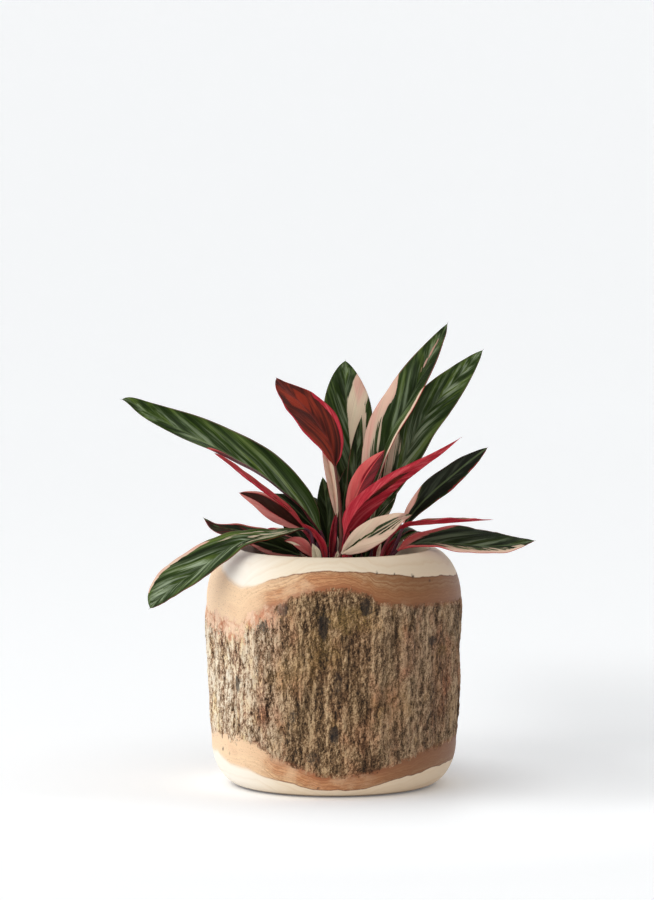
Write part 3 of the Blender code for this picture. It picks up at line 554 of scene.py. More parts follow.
def weighted(tree, *parts):
    """The sum of values, each times its weight."""
    total = times(tree, *parts[0])
    for value, weight in parts[1:]:
        made = add_node(tree, "Math", {0: value, 1: weight, 2: total}, operation="MULTIPLY_ADD")
        total = made.outputs["Value"]
    return total


def axis(tree, vector, letter):
    return add_node(tree, "SeparateXYZ", {0: vector}).outputs[letter]


def remap(tree, value, low, high, to_low=0.0, to_high=1.0):
    """value carried smoothly from the range low to high into the range to_low to to_high."""
    made = add_node(tree, "MapRange", {"Value": value, "From Min": low, "From Max": high, "To Min": to_low,
                                       "To Max": to_high}, interpolation_type="SMOOTHSTEP")
    return made.outputs["Result"]


def blend(tree, share, first, second, kind="MIX"):
    """first with a share of second, which is a colour."""
    if isinstance(second, tuple):
        second = paint(*second)
    made = add_node(tree, "Mix", {0: share, 6: first, 7: second}, data_type="RGBA", blend_type=kind)
    return made.outputs[2]


def layered(tree, base, *layers):
    """base under layers of (value, low, high, share at low, share at high, colour), some with a mode."""
    for value, low, high, at_low, at_high, colour, *kind in layers:
        base = blend(tree, remap(tree, value, low, high, at_low, at_high), base, colour, *kind)
    return base


def ramp(tree, value, *stops):
    """A colour ramp through stops of (place, red, green, blue)."""
    made = add_node(tree, "ValToRGB", {"Fac": value})
    marks = made.color_ramp.elements
    while len(marks) < len(stops):
        marks.new(0.5)
    for mark, (place, *colour) in zip(marks, stops):
        mark.position = place
        mark.color = paint(*colour)
    return made.outputs["Color"]


def stretched(tree, vector, scale, place=(0, 0, 0)):
    """vector moved and stretched by a Mapping node."""
    made = add_node(tree, "Mapping", {"Vector": vector, "Scale": scale, "Location": place})
    return made.outputs["Vector"]


def clouds(tree, vector, scale, detail, roughness, stretch=None, place=(0, 0, 0)):
    """Soft noise round a half, of a vector that may be stretched and moved first."""
    if stretch:
        vector = stretched(tree, vector, stretch, place)
    made = add_node(tree, "TexNoise", {"Vector": vector, "Scale": scale, "Detail": detail,
                                       "Roughness": roughness})
    return made.outputs["Fac"]


def read(tree, name, output="Fac"):
    return add_node(tree, "Attribute", attribute_name=name).outputs[output]


def new_group(name, inputs, outputs):
    """An empty node group with its sockets, and its two end nodes."""
    group = bpy.data.node_groups.new(name, "ShaderNodeTree")
    for sockets, way in ((inputs, "INPUT"), (outputs, "OUTPUT")):
        for label, kind in sockets.items():
            group.interface.new_socket(name=label, in_out=way, socket_type="NodeSocket" + kind)
    return group, group.nodes.new("NodeGroupInput").outputs, group.nodes.new("NodeGroupOutput")


def use_group(tree, group, inputs):
    made = tree.nodes.new("ShaderNodeGroup")
    made.node_tree = group
    fill(tree, made, inputs)
    return made.outputs


def new_material(name, roughness, specular):
    """A material, its tree and its shader; roughness and specular are constants of the shader."""
    made = bpy.data.materials.new(name)
    made.use_nodes = True
    shader = made.node_tree.nodes["Principled BSDF"]
    shader.inputs["Roughness"].default_value = roughness
    shader.inputs["Specular IOR Level"].default_value = specular
    return made, made.node_tree, shader


def bump(tree, height, strength, distance, **more):
    made = add_node(tree, "Bump", {"Height": height, "Strength": strength, "Distance": distance, **more})
    return made.outputs["Normal"]


def object_place(tree):
    return add_node(tree, "TexCoord").outputs["Object"]


# Shader groups


def painted_relief_light(tree, vector, scale, size, roughness, step):
    """How steeply a noise climbs to the right and a little downward at a place: 0 on the level. It serves as
    painted light and shade on the relief, as if lit from the upper left.
    """
    ahead, behind = (clouds(tree, vector, size, 3, roughness, scale, (move, 0, -move * 0.4))
                     for move in (step, -step))
    return minus(tree, ahead, behind)


def bark_noises(group, spot):
    """The noises that the bark is made of. path wanders, so that furrows and cracks aren't straight."""
    upright = stretched(group, spot, (1, 1, 0.62))
    wander = add_node(group, "TexNoise", {"Vector": upright, "Scale": 260, "Detail": 3})
    bent = add_node(group, "VectorMath", {0: wander.outputs["Color"], "Scale": 0.004}, operation="SCALE")
    path = add_node(group, "VectorMath", {0: upright, 1: bent.outputs["Vector"]}, operation="ADD")
    path = path.outputs["Vector"]
    chips = [add_node(group, "TexVoronoi", {"Vector": path, "Scale": scale}) for scale in (460, 1000)]
    large_chips, small_chips = (axis(group, cells.outputs["Color"], "X") for cells in chips)
    crack = minus(group, clouds(group, path, 150, 3, 0.6, (1, 1, 0.28)), 0.5)
    return dict(
        path=path, large_chips=large_chips, small_chips=small_chips,
        mottle=clouds(group, upright, 300, 6, 0.9),
        grain=clouds(group, spot, 1000, 3, 0.9),
        flecks=clouds(group, spot, 560, 3, 0.8, (1, 1, 0.8), (2, 5, 1)),
        broad=clouds(group, spot, 42, 4, 0.6, (1, 1, 0.5)),
        furrow=clouds(group, path, 110, 2, 0.5, (1, 1, 0.2)),
        bits=clouds(group, spot, 210, 2, 0.6, (1, 1, 0.5), (4, 1, 3)),
        crumbs=clouds(group, spot, 420, 2, 0.6, (1, 1, 0.75), (1, 7, 3)),
        crack=remap(group, maths(group, "ABSOLUTE", crack), 0.0, 0.045),
        olive=clouds(group, spot, 48, 4, 0.65, (1, 1, 0.6), (7, 2, 3)),
        warm=clouds(group, upright, 60, 3, 0.6),
        cool=clouds(group, spot, 60, 3, 0.6, (1, 1, 0.5), (3, 1, 2)))


def bark_tones(group, parts, spot, side, high):
    """From dark cracks, whose dark is partly painted shade, to light chips, with painted light on the left
    of the log and painted shade on its right.
    """
    light = weighted(
        group, (parts["large_chips"], 0.15), (parts["small_chips"], 0.18), (parts["mottle"], 0.8),
        (high, 0.45), (parts["broad"], 0.3), (parts["furrow"], 0.3),
        (parts["crack"], remap(group, side, 0.03, -0.05, 0.2, 0.4)), (parts["grain"], 1.35),
        (parts["flecks"], 1.0), (remap(group, side, 0.02, 0.08), 0.06),
        # Painted light and shade on the relief of chips and furrows, as if lit from the upper left.
        (painted_relief_light(group, spot, (1, 1, 0.45), 170, 0.65, 0.0008), 1.5),
        (painted_relief_light(group, spot, (1, 1, 0.85), 420, 0.75, 0.0004), 1.4),
        (painted_relief_light(group, parts["path"], (1, 1, 0.14), 95, 0.5, 0.0014), 1.7))
    light = remap(group, light, 1.84, 3.1)
    middle = ramp(group, light, (0, 34, 24, 14), (0.22, 76, 55, 34), (0.5, 116, 88, 60),
                  (0.75, 150, 118, 84), (1, 204, 172, 132))
    # Lit tones for the painted light on the left of the log, and shaded tones for the painted shade on its
    # right.
    lit_left_tones = ramp(group, light, (0, 52, 36, 24), (0.22, 108, 82, 60), (0.5, 172, 142, 112),
                  (0.75, 214, 188, 158), (1, 255, 242, 220))
    shaded_right_tones = ramp(group, light, (0, 64, 48, 33), (0.22, 97, 77, 56), (0.5, 136, 111, 85),
                (0.75, 164, 137, 108), (1, 196, 168, 136))
    return layered(group, middle, (side, -0.025, -0.088, 0, 1, lit_left_tones), (side, 0.01, 0.07, 0, 0.8, shaded_right_tones))


def bark_tints(group, parts, side, given, colour):
    """Olive, rusty and grey-green patches, lichen and dark stains over the bark's tones, and a warmer tint
    on the right of the log that belongs to its painted shade.
    """
    colour = layered(group, colour, (parts["olive"], 0.5, 0.68, 0, 0.5, (146, 130, 84), "OVERLAY"))
    # Warmer in rusty and warm patches, and a little warmer on the right of the log as part of the painted
    # shade there.
    warm = weighted(group, (remap(group, parts["warm"], 0.45, 0.7), 0.5), (given["Rust"], 0.45),
                    (remap(group, side, 0.0, 0.07), 0.08))
    colour = blend(group, times(group, warm, 0.7, True), colour, (162, 106, 86), "OVERLAY")
    colour = layered(group, colour, (parts["cool"], 0.5, 0.7, 0, 0.3, (116, 122, 112), "OVERLAY"))
    growth = times(group, given["Lichen"], remap(group, parts["grain"], 0.42, 0.6))
    colour = blend(group, times(group, growth, 0.5), colour, (176, 142, 76))
    stain = remap(group, plus(group, given["Dark"], swing(group, parts["flecks"], 2.0)), 0.36, 0.7)
    stain = times(group, stain, remap(group, parts["grain"], 0.2, 0.5))
    return blend(group, times(group, stain, 0.8), colour, (26, 25, 26))


def make_bark_group():
    """Rough bark: crumbly chips along the log. High is the mesh's own fine relief, from 0 to 1."""
    inputs = dict(Vector="Vector", High="Float", Dark="Float", Lichen="Float", Rust="Float")
    group, given, result = new_group("Rough bark", inputs, dict(Color="Color", Height="Float"))
    spot = given["Vector"]
    side = axis(group, spot, "X")
    parts = bark_noises(group, spot)
    tones = bark_tones(group, parts, spot, side, given["High"])
    relief = weighted(group, (parts["furrow"], 2.2), (parts["bits"], 1.4), (parts["crumbs"], 0.6),
                      (parts["crack"], 0.12), (given["High"], 0.3))
    fill(group, result, {"Color": bark_tints(group, parts, side, given, tones), "Height": relief})
    return group


def make_wood_group():
    """Turned, sanded wood. Layer is the distance from the bark and Tan the share of inner bark.

    Like the bark, it has painted light on the left of the log and painted shade on its right,
    and painted shade towards the foot with a dark painted contact shadow along its lowest edge.
    """
    inputs = dict(Vector="Vector", Layer="Float", Tan="Float", Line="Float", Dots="Float")
    group, given, result = new_group("Turned wood", inputs, dict(Color="Color", Height="Float"))
    spot = given["Vector"]
    side = axis(group, spot, "X")
    foot = axis(group, spot, "Z")
    blotch = clouds(group, spot, 32, 5, 0.6)
    fibre = clouds(group, spot, 190, 5, 0.65, (1, 1, 4))
    speck = clouds(group, spot, 620, 3, 0.7, (1, 1, 2.2))
    drift = swing(group, blotch, 0.7)
    rings = add_node(group, "CombineXYZ", {"X": plus(group, given["Layer"], drift)}).outputs["Vector"]
    bands = clouds(group, rings, 3.2, 2, 0.6)
    lines = clouds(group, rings, 13, 3, 0.7)
    # The pale wood: painted light on the left of the log, painted shade on its right and in the lowest 12
    # mm, and a dark painted contact shadow in the lowest 3 mm.
    pale = layered(
        group, ramp(group, bands, (0.3, 245, 233, 211), (0.5, 239, 224, 199), (0.68, 231, 211, 181)),
        (fibre, 0.5, 0.8, 0, 0.3, (232, 206, 170)), (side, -0.03, 0.09, 0.1, 0.55, (222, 190, 156)),
        (side, -0.03, -0.08, 0, 0.6, (254, 251, 244)), (foot, 0.012, 0, 0, 0.2, (196, 160, 124)),
        (foot, 0.0028, 0.0006, 0, 0.86, (78, 42, 20)))
    layer = plus(group, given["Layer"], times(group, drift, 0.5))
    milky = plus(group, blotch, remap(group, side, 0.05, -0.09, -0.1, 0.2))
    # The tan inner bark: painted shade on the right of the log and painted light on its left.
    tan = layered(
        group, ramp(group, layer, (0, 148, 82, 50), (0.1, 184, 120, 78), (0.32, 212, 156, 108),
                    (0.7, 220, 172, 124), (1, 228, 190, 144)),
        (bands, 0.42, 0.6, 0, 0.6, (186, 118, 70)), (lines, 0.47, 0.58, 0, 0.7, (150, 92, 54)),
        (fibre, 0.44, 0.66, 0, 0.6, (160, 102, 62)), (milky, 0.5, 0.68, 0, 0.55, (236, 202, 162)),
        (side, -0.02, 0.07, 0, 0.8, (126, 82, 50)), (side, -0.035, -0.09, 0, 0.75, (250, 218, 180)),
        (speck, 0.56, 0.74, 0, 0.7, (128, 76, 48)))
    line = times(group, given["Line"], remap(group, side, -0.065, -0.03, 0.1, 1))
    line = times(group, line, remap(group, speck, 0.3, 0.6, 0.35, 0.8))
    colour = blend(group, line, blend(group, given["Tan"], pale, tan), (112, 66, 40))
    colour = blend(group, given["Dots"], colour, (58, 34, 26))
    relief = weighted(group, (fibre, 0.7), (speck, 0.4), (lines, 0.3))
    fill(group, result, {"Color": colour, "Height": relief})
    return group


def make_vein_group():
    """Streaks that follow the veins of a leaf. Place is (share across, cm along the veins, leaf's seed)."""
    streaks = {"Broad": (3, 0.6, (0.8, 0.55, 1), 0), "Feather": (4, 0.66, (1.3, 1.1, 1), 4.3),
               "Sector": (4, 0.6, (0.7, 1.3, 1), 9.7), "Fine": (3, 0.6, (0.8, 6, 1), 2.1),
               "Cells": (3, 0.7, (9, 22, 1), 0)}
    group, given, result = new_group("Leaf veins", {"Place": "Vector"}, dict.fromkeys(streaks, "Float"))
    for name, (detail, roughness, stretch, shift) in streaks.items():
        streak = clouds(group, given["Place"], 1, detail, roughness, stretch, (0, 0, shift))
        fill(group, result, {name: streak})
    return group


# Materials


def bare_patches(tree, spot, side, bark_in):
    """Where the bark at the upper left has come off, down to its pale inner side."""
    bare = plus(tree, clouds(tree, spot, 170, 6, 0.8, (1, 1, 0.4), (1, 1, 5)),
                remap(tree, bark_in, 0.0, 3.0, 0.12, -0.16))
    upper_left = times(tree, remap(tree, side, -0.03, -0.06),
                       remap(tree, axis(tree, spot, "Z"), 0.075, 0.105))
    return times(tree, remap(tree, bare, 0.49, 0.56, 0, 0.8), upper_left)


def log_material(bark_group, wood_group):
    """Turned wood outside the ragged edge of the bark, and rough bark inside it."""
    made, tree, shader = new_material("Log with bark", 0.6, 0.35)
    spot = object_place(tree)
    side = axis(tree, spot, "X")
    fine = minus(tree, clouds(tree, spot, 210, 6, 0.78), 0.5)
    patches = minus(tree, clouds(tree, spot, 75, 3, 0.6), 0.5)
    ragged = weighted(tree, (fine, remap(tree, side, -0.04, -0.08, 1.4, 2.6)),
                      (patches, remap(tree, side, -0.04, -0.08, 0.2, 2.6)))
    bark_in = read(tree, "bark_in")
    tan_in = plus(tree, read(tree, "tan_in"), swing(tree, clouds(tree, spot, 70, 3, 0.5), 0.2))
    is_bark = remap(tree, plus(tree, bark_in, ragged), -0.06, 0.12)
    is_tan = times(tree, tan_in, remap(tree, side, -0.07, -0.03, 0.2, 1))
    line = maths(tree, "ABSOLUTE", minus(tree, tan_in, 0.03))
    wood = use_group(tree, wood_group, {
        "Vector": spot, "Layer": times(tree, bark_in, -0.6), "Tan": remap(tree, is_tan, -0.06, 0.05),
        "Line": remap(tree, line, 0.07, 0.02), "Dots": read(tree, "knots")})
    bark = use_group(tree, bark_group, {
        "Vector": spot, "High": read(tree, "bark_high"), "Dark": read(tree, "stained"),
        "Lichen": read(tree, "lichen"), "Rust": read(tree, "rusty")})
    torn = times(tree, remap(tree, bark_in, 0.5, 0.0), remap(tree, ragged, -0.1, 0.1, 0.6, 0.15))
    bare = bare_patches(tree, spot, side, bark_in)
    inner = ramp(tree, plus(tree, ragged, 0.5), (0.3, 206, 140, 106), (0.7, 244, 206, 176))
    rough_colour = blend(tree, bare, blend(tree, torn, bark["Color"], (160, 98, 64)), inner)
    strength = times(tree, is_bark, remap(tree, bare, 0, 0.8, 0.9, 0.3))
    normal = bump(tree, bark["Height"], strength, 0.004, Normal=bump(tree, wood["Height"], 0.25, 0.0005))
    fill(tree, shader, {"Base Color": blend(tree, is_bark, wood["Color"], rough_colour),
                        "Roughness": remap(tree, is_bark, 0, 1, 0.5, 0.92), "Normal": normal})
    return made


def leaf_parts(tree, veins):
    """What both sides of a leaf share: streaks, pale flesh, place across, light edge, midrib and relief."""
    place = read(tree, "leaf_place", "Vector")
    streaks = use_group(tree, veins, {"Place": place})
    pale = plus(tree, read(tree, "leaf_pale"), swing(tree, streaks["Sector"], 1.5))
    across = maths(tree, "ABSOLUTE", axis(tree, place, "X"))
    edge = times(tree, remap(tree, across, 0.93, 0.985), read(tree, "leaf_margin"))
    rib = remap(tree, read(tree, "leaf_rib"), 1.0, 0.35)
    relief = plus(tree, streaks["Fine"], times(tree, streaks["Cells"], 0.25))
    return streaks, remap(tree, pale, 0.44, 0.56), across, edge, rib, relief


def upper_material(veins):
    made, tree, shader = new_material("Leaf, upper side", 0.42, 0.11)
    streaks, pale, across, edge, rib, relief = leaf_parts(tree, veins)
    green = ramp(tree, streaks["Broad"], (0.32, 20, 34, 3), (0.5, 44, 64, 16), (0.7, 102, 122, 54))
    green = layered(tree, green, (streaks["Fine"], 0.5, 0.75, 0, 0.25, (76, 98, 44)))
    shade = times(tree, read(tree, "leaf_dark"), 0.92)
    green = blend(tree, shade, green, (10, 13, 3))
    # Silvery feathering along the veins: the leaf's own pattern, with painted sheen in it.
    feather = times(tree, remap(tree, streaks["Feather"], 0.43, 0.58), remap(tree, across, 1.0, 0.1))
    feather = times(tree, feather, remap(tree, streaks["Broad"], 0.4, 0.62, 0.1, 1))
    feather = times(tree, feather, read(tree, "leaf_feather_sheen"))
    green = blend(tree, times(tree, feather, 0.8), green, (176, 190, 160))
    green = blend(tree, times(tree, rib, 0.35), green, (112, 130, 86))
    tint = plus(tree, times(tree, read(tree, "leaf_pink"), 0.84), swing(tree, streaks["Broad"], 0.35))
    flesh = ramp(tree, tint, (0, 232, 218, 186), (0.25, 232, 196, 172), (0.46, 228, 150, 140),
                 (0.66, 218, 92, 90), (0.84, 182, 36, 54), (1, 78, 22, 30))
    flesh = layered(tree, flesh, (streaks["Fine"], 0.52, 0.7, 0, 0.3, (150, 132, 92)))
    flesh = blend(tree, times(tree, shade, 0.9), flesh, (44, 26, 15))
    colour = blend(tree, times(tree, edge, 0.8), blend(tree, pale, green, flesh), (206, 146, 134))
    relief = minus(tree, relief, times(tree, rib, 0.4))
    fill(tree, shader, {"Base Color": colour, "Normal": bump(tree, relief, 0.6, 0.0009),
                        "Roughness": remap(tree, streaks["Cells"], 0.3, 0.7, 0.38, 0.52)})
    return made


def under_material(veins):
    made, tree, shader = new_material("Leaf, underside", 0.52, 0.14)
    streaks, pale, _, edge, rib, relief = leaf_parts(tree, veins)
    maroon = ramp(tree, streaks["Broad"], (0.32, 44, 15, 10), (0.5, 76, 25, 16), (0.68, 142, 48, 28))
    brick = times(tree, remap(tree, streaks["Feather"], 0.54, 0.68), read(tree, "leaf_feather_sheen"))
    brick = plus(tree, brick, remap(tree, read(tree, "leaf_pink"), 0.62, 1.0), True)
    maroon = blend(tree, brick, maroon, (140, 44, 24))
    crimson = ramp(tree, streaks["Feather"], (0.3, 146, 22, 38), (0.5, 180, 38, 52), (0.72, 210, 92, 96))
    colour = blend(tree, times(tree, rib, 0.3), blend(tree, pale, maroon, crimson), (128, 50, 46))
    colour = blend(tree, times(tree, edge, 0.9), colour, (186, 46, 66))
    fill(tree, shader, {"Base Color": colour, "Normal": bump(tree, relief, 0.6, 0.0009)})
    return made


def stalk_material(name, light, dark):
    """A leaf stalk with fine lines along it."""
    made, tree, shader = new_material(name, 0.42, 0.45)
    place = read(tree, "leaf_place", "Vector")
    lines = clouds(tree, place, 1, 3, 0.6, (9, 0.5, 1))
    patches = clouds(tree, place, 1, 3, 0.5, (1, 1.4, 1))
    tone = plus(tree, times(tree, lines, 0.5), times(tree, patches, 0.5))
    fill(tree, shader, {"Base Color": ramp(tree, tone, (0.35, *dark), (0.65, *light)),
                        "Normal": bump(tree, lines, 0.4, 0.0004)})
    return made


def soil_material():
    made, tree, shader = new_material("Potting soil", 0.95, 0.3)
    spot = object_place(tree)
    crumbs = add_node(tree, "TexVoronoi", {"Vector": spot, "Scale": 420}).outputs["Distance"]
    fine = clouds(tree, spot, 900, 5, 0.7)
    colour = layered(tree, ramp(tree, crumbs, (0, 78, 62, 48), (0.6, 44, 34, 27), (1, 22, 17, 14)),
                     (fine, 0.6, 0.75, 0, 0.5, (112, 90, 66)))
    relief = minus(tree, times(tree, fine, 0.6), crumbs)
    fill(tree, shader, {"Base Color": colour, "Normal": bump(tree, relief, 1.0, 0.0016)})
    return made


def chip_material(name, light, dark):
    """Bark chips and grains of perlite in the soil."""
    made, tree, shader = new_material(name, 0.9, 0.3)
    fine = clouds(tree, object_place(tree), 700, 4, 0.7)
    fill(tree, shader, {"Base Color": ramp(tree, fine, (0.35, *dark), (0.65, *light)),
                        "Normal": bump(tree, fine, 0.8, 0.0008)})
    return made


# Pot


def turned_radius(z):
    """The radius of the pot as the lathe left it, at height z."""
    if z < FOOT_ROUNDING:
        rise = 1 - z / FOOT_ROUNDING
        return FOOT_FLAT_RADIUS + (FOOT_RADIUS - FOOT_FLAT_RADIUS) * math.sqrt(max(1 - rise * rise, 0))
    shoulder = POT_HEIGHT - SHOULDER_HEIGHT
    if z > shoulder:
        rise = (z - shoulder) / SHOULDER_HEIGHT
        return MOUTH_RADIUS + (POT_RADIUS - MOUTH_RADIUS) * math.sqrt(max(1 - rise * rise, 0))
    share = (z - FOOT_ROUNDING) / (shoulder - FOOT_ROUNDING)
    return mix(FOOT_RADIUS, POT_RADIUS, math.sin(share * math.pi / 2))


def edge_height(edge, degrees):
    """The height in mm of a zone's edge at an angle round the pot."""
    before = (edge[-1][0] - 360, edge[-1][1])
    for after in (*edge, (edge[0][0] + 360, edge[0][1])):
        if degrees <= after[0]:
            share = (degrees - before[0]) / (after[0] - before[0])
            return mix(before[1], after[1], share)
        before = after
    return before[1]


def bark_relief(angle, z):
    """The main ridges and furrows, as in the part's source."""
    spot = Vector((math.cos(angle), math.sin(angle), z / POT_RADIUS * BARK_STRETCH)) * BARK_GRAIN
    drift = noise.noise(spot * DRIFT_GRAIN) * DRIFT_TURN
    ridges = math.sin(BARK_RIDGES * angle + drift)
    return BARK_RELIEF * (ridges * RIDGE_SHARE + noise.noise(spot) * GRAIN_SHARE)


def bark_high(angle, z):
    """The fine relief of the bark, from about 0 in the cracks to 1 on the plates."""
    spot = Vector((math.cos(angle), math.sin(angle), 0)) * (POT_RADIUS / MM)
    spot.z = z / MM
    bend = noise.noise(spot / 22) * 5
    spot.x += bend
    spot.y -= bend
    wide = noise.noise(Vector((spot.x / 9, spot.y / 9, spot.z / 48)))
    plate = min(abs(wide) * 4.5, 1)
    narrow = noise.noise(Vector((spot.x / 4, spot.y / 4, spot.z / 13 + 7)))
    flake = min(abs(narrow) * 4, 1)
    grain = noise.noise(Vector((spot.x / 2.2, spot.y / 2.2, spot.z / 4 + 3)))
    return plate * 0.45 + flake * 0.35 + grain * 0.25 + 0.15


def pot_section():
    """The half section, from the middle of the foot up the outside and down into the cavity."""
    points = [(0, 0), (FOOT_FLAT_RADIUS * 0.6, 0), (FOOT_FLAT_RADIUS - 3 * MM, 0.0)]
    points.append((FOOT_FLAT_RADIUS, 0.15 * MM))
    shoulder = POT_HEIGHT - SHOULDER_HEIGHT
    heights = [FOOT_ROUNDING * (1 - math.cos(math.pi / 2 * step / FOOT_ROWS))
               for step in range(1, FOOT_ROWS + 1)]
    heights += [FOOT_ROUNDING + (shoulder - FOOT_ROUNDING) * step / WALL_ROWS
                for step in range(1, WALL_ROWS + 1)]
    heights += [shoulder + SHOULDER_HEIGHT * math.sin(math.pi / 2 * step / (SHOULDER_ROWS + 1))
                for step in range(1, SHOULDER_ROWS + 1)]
    points += [(turned_radius(z), z) for z in heights]
    lip_foot = POT_HEIGHT - LIP_ROUNDING
    for step in range(LIP_ROWS + 1):
        turn = math.pi / 2 * step / LIP_ROWS
        points.append((MOUTH_RADIUS + LIP_ROUNDING - LIP_ROUNDING * math.sin(turn),
                       lip_foot + LIP_ROUNDING * math.cos(turn)))
    for step in range(1, CAVITY_ROWS + 1):
        share = step / CAVITY_ROWS
        points.append((mix(MOUTH_RADIUS, CAVITY_FOOT_RADIUS, share), mix(lip_foot, FLOOR_THICKNESS, share)))
    points.append((0, FLOOR_THICKNESS))
    return points


def turned_shape(points, steps):
    """Spins a half section round the Z axis into a closed bmesh."""
    work = bmesh.new()
    verts = [work.verts.new((radius, 0, z)) for radius, z in points]
    edges = [work.edges.new(pair) for pair in zip(verts, verts[1:])]
    bmesh.ops.spin(work, geom=verts + edges, cent=(0, 0, 0), axis=(0, 0, 1), angle=math.tau, steps=steps,
                   use_merge=True)
    bmesh.ops.remove_doubles(work, verts=work.verts, dist=0.00001)
    bmesh.ops.recalc_face_normals(work, faces=work.faces)
    return work


def marked(marks, degrees, height, wobble):
    """How strongly any of the marks covers this place on the bark."""
    strongest = 0
    for angle, middle, wide, tall, strength in marks:
        turn = (degrees - angle + 180) % 360 - 180
        reach = math.hypot(math.radians(turn) * POT_RADIUS / MM / wide, (height - middle) / tall)
        strongest = max(strongest, strength * smooth(1.5 - reach + wobble))
    return strongest


def knot_here(degrees, height):
    """1 inside one of the small dark dots along the inner bark."""
    for angle, middle, radius in KNOTS:
        away = math.hypot(math.radians(degrees - angle) * POT_RADIUS / MM, height - middle)
        if away < radius * 2:
            return smooth(2 - away / radius)
    return 0


def grown_radius(radius, angle, z, foot, top, high):
    """The radius of the rough bark, which runs from foot to top, both in mm."""
    height = z / MM
    bark_in = min(height - foot, top - height)
    natural = mix(turned_radius(foot * MM), turned_radius(top * MM), (height - foot) / (top - foot))
    strength = smooth(bark_in / 9)
    cover = smooth(bark_in / 1.6)
    plates = (high - 0.62) * PLATE_RELIEF * mix(cover * 0.6, 1, strength)
    grown = mix(radius, natural + bark_relief(angle, z), strength)
    return min(grown, radius + BARK_PROUD) + plates


def pot_values(vertex):
    """Grows the bark at one vertex of the turned pot, and gives the shader's values there.

    bark_in and tan_in are distances in cm into the rough bark and into the tan inner bark.
    """
    x, y, z = vertex.co
    radius = math.hypot(x, y)
    if radius <= 30 * MM or abs(radius - turned_radius(z)) >= 0.05 * MM or z <= 0.01 * MM:
        in_cavity = radius < turned_radius(max(z, 0)) - 0.2 * MM and z > FLOOR_THICKNESS / 2
        depth = -6 if in_cavity or z < FLOOR_THICKNESS else -3
        return dict(bark_in=depth, tan_in=depth)
    degrees = math.degrees(math.atan2(x, -y))
    angle = math.atan2(y, x)
    around = Vector((math.cos(angle), math.sin(angle), 0))
    height = z / MM
    wobble = noise.noise(around * 14 + Vector((0, 0, height / 40)))
    top = edge_height(BARK_TOP, degrees) + wobble * 1.2
    foot = edge_height(BARK_FOOT, degrees) + wobble * 1.2
    bark_in = min(height - foot, top - height)
    tan_in = min(height - edge_height(TAN_FOOT, degrees), edge_height(TAN_TOP, degrees) - height)
    high = bark_high(angle, z)
    if bark_in > 0:
        growth = grown_radius(radius, angle, z, foot, top, high) / radius
        vertex.co.x *= growth
        vertex.co.y *= growth
    ragged = noise.noise(Vector((math.cos(angle) * 20, math.sin(angle) * 20, height / 9))) * 0.5
    return dict(bark_in=bark_in / 10, tan_in=(tan_in + wobble * 0.8) / 10, bark_high=high,
                stained=marked(DARK_STAINS, degrees, height, ragged),
                lichen=marked(LICHENS, degrees, height, ragged),
                rusty=marked(RUSTY, degrees, height, ragged), knots=knot_here(degrees, height))


def make_pot(finish):
    mesh = finished("log_pot_dressed", turned_shape(pot_section(), POT_COLUMNS))
    rows = [pot_values(vertex) for vertex in mesh.vertices]
    for name in ("bark_in", "tan_in", "bark_high", "stained", "lichen", "rusty", "knots"):
        put_values(mesh, name, [row.get(name, 0) for row in rows])
    show(mesh, [finish], ["log_pot"])


# Soil


def make_soil(finish):
    share = (SOIL_TOP - FLOOR_THICKNESS) / (POT_HEIGHT - FLOOR_THICKNESS)
    radius = mix(CAVITY_FOOT_RADIUS, MOUTH_RADIUS, share) - SOIL_GAP
    points = [(0, SOIL_TOP - SOIL_DEPTH), (radius - 2 * MM, SOIL_TOP - SOIL_DEPTH)]
    points += [(radius * step / SOIL_ROWS, SOIL_TOP) for step in range(SOIL_ROWS, -1, -1)]
    work = turned_shape(points, SOIL_COLUMNS)
    for vertex in work.verts:
        if vertex.co.z < SOIL_TOP - 1 * MM:
            continue
        spot = vertex.co / MM
        lumps = noise.noise(spot / 14) * 1.6 + noise.noise(spot / 5) * 0.9 + noise.noise(spot / 2.4) * 0.5
        rim = min((radius - Vector((spot.x, spot.y)).length * MM) / (4 * MM), 1)
        vertex.co.z += lumps * MM * max(rim, 0)
    show(finished("soil_dressed", work), [finish], ["soil"])


def make_chips(dark, pale):
    """Bark chips and a few grains of perlite that lie on the soil."""
    chance = random.Random(7)
    work = bmesh.new()
    for number in range(CHIPS):
        reach = math.sqrt(chance.random()) * CHIP_SPREAD
        turn = chance.random() * math.tau
        is_pale = number % 9 == 0
        size = chance.uniform(0.9, 1.5) if is_pale else chance.uniform(1.0, 2.6)
        verts = bmesh.ops.create_icosphere(work, subdivisions=1, radius=size * MM)["verts"]
        flat = (1, 1, 1)
        if not is_pale:
            flat = (chance.uniform(0.8, 1.6), chance.uniform(0.6, 1.0), chance.uniform(0.3, 0.6))
        bmesh.ops.scale(work, verts=verts, vec=flat)
        for vertex in verts:
            vertex.co *= chance.uniform(0.8, 1.15)
        spin = chance.random() * math.tau
        tilt = chance.uniform(-0.4, 0.4)
        lie = Euler((tilt, tilt / 2, spin)).to_matrix()
        bmesh.ops.rotate(work, verts=verts, cent=(0, 0, 0), matrix=lie)
        place = (reach * math.cos(turn), reach * math.sin(turn), SOIL_TOP + 0.9 * MM)
        bmesh.ops.translate(work, verts=verts, vec=place)
        for face in {face for vertex in verts for face in vertex.link_faces}:
            face.material_index = 1 if is_pale else 0
    show(finished("soil_chips", work), [dark, pale])


# Leaves


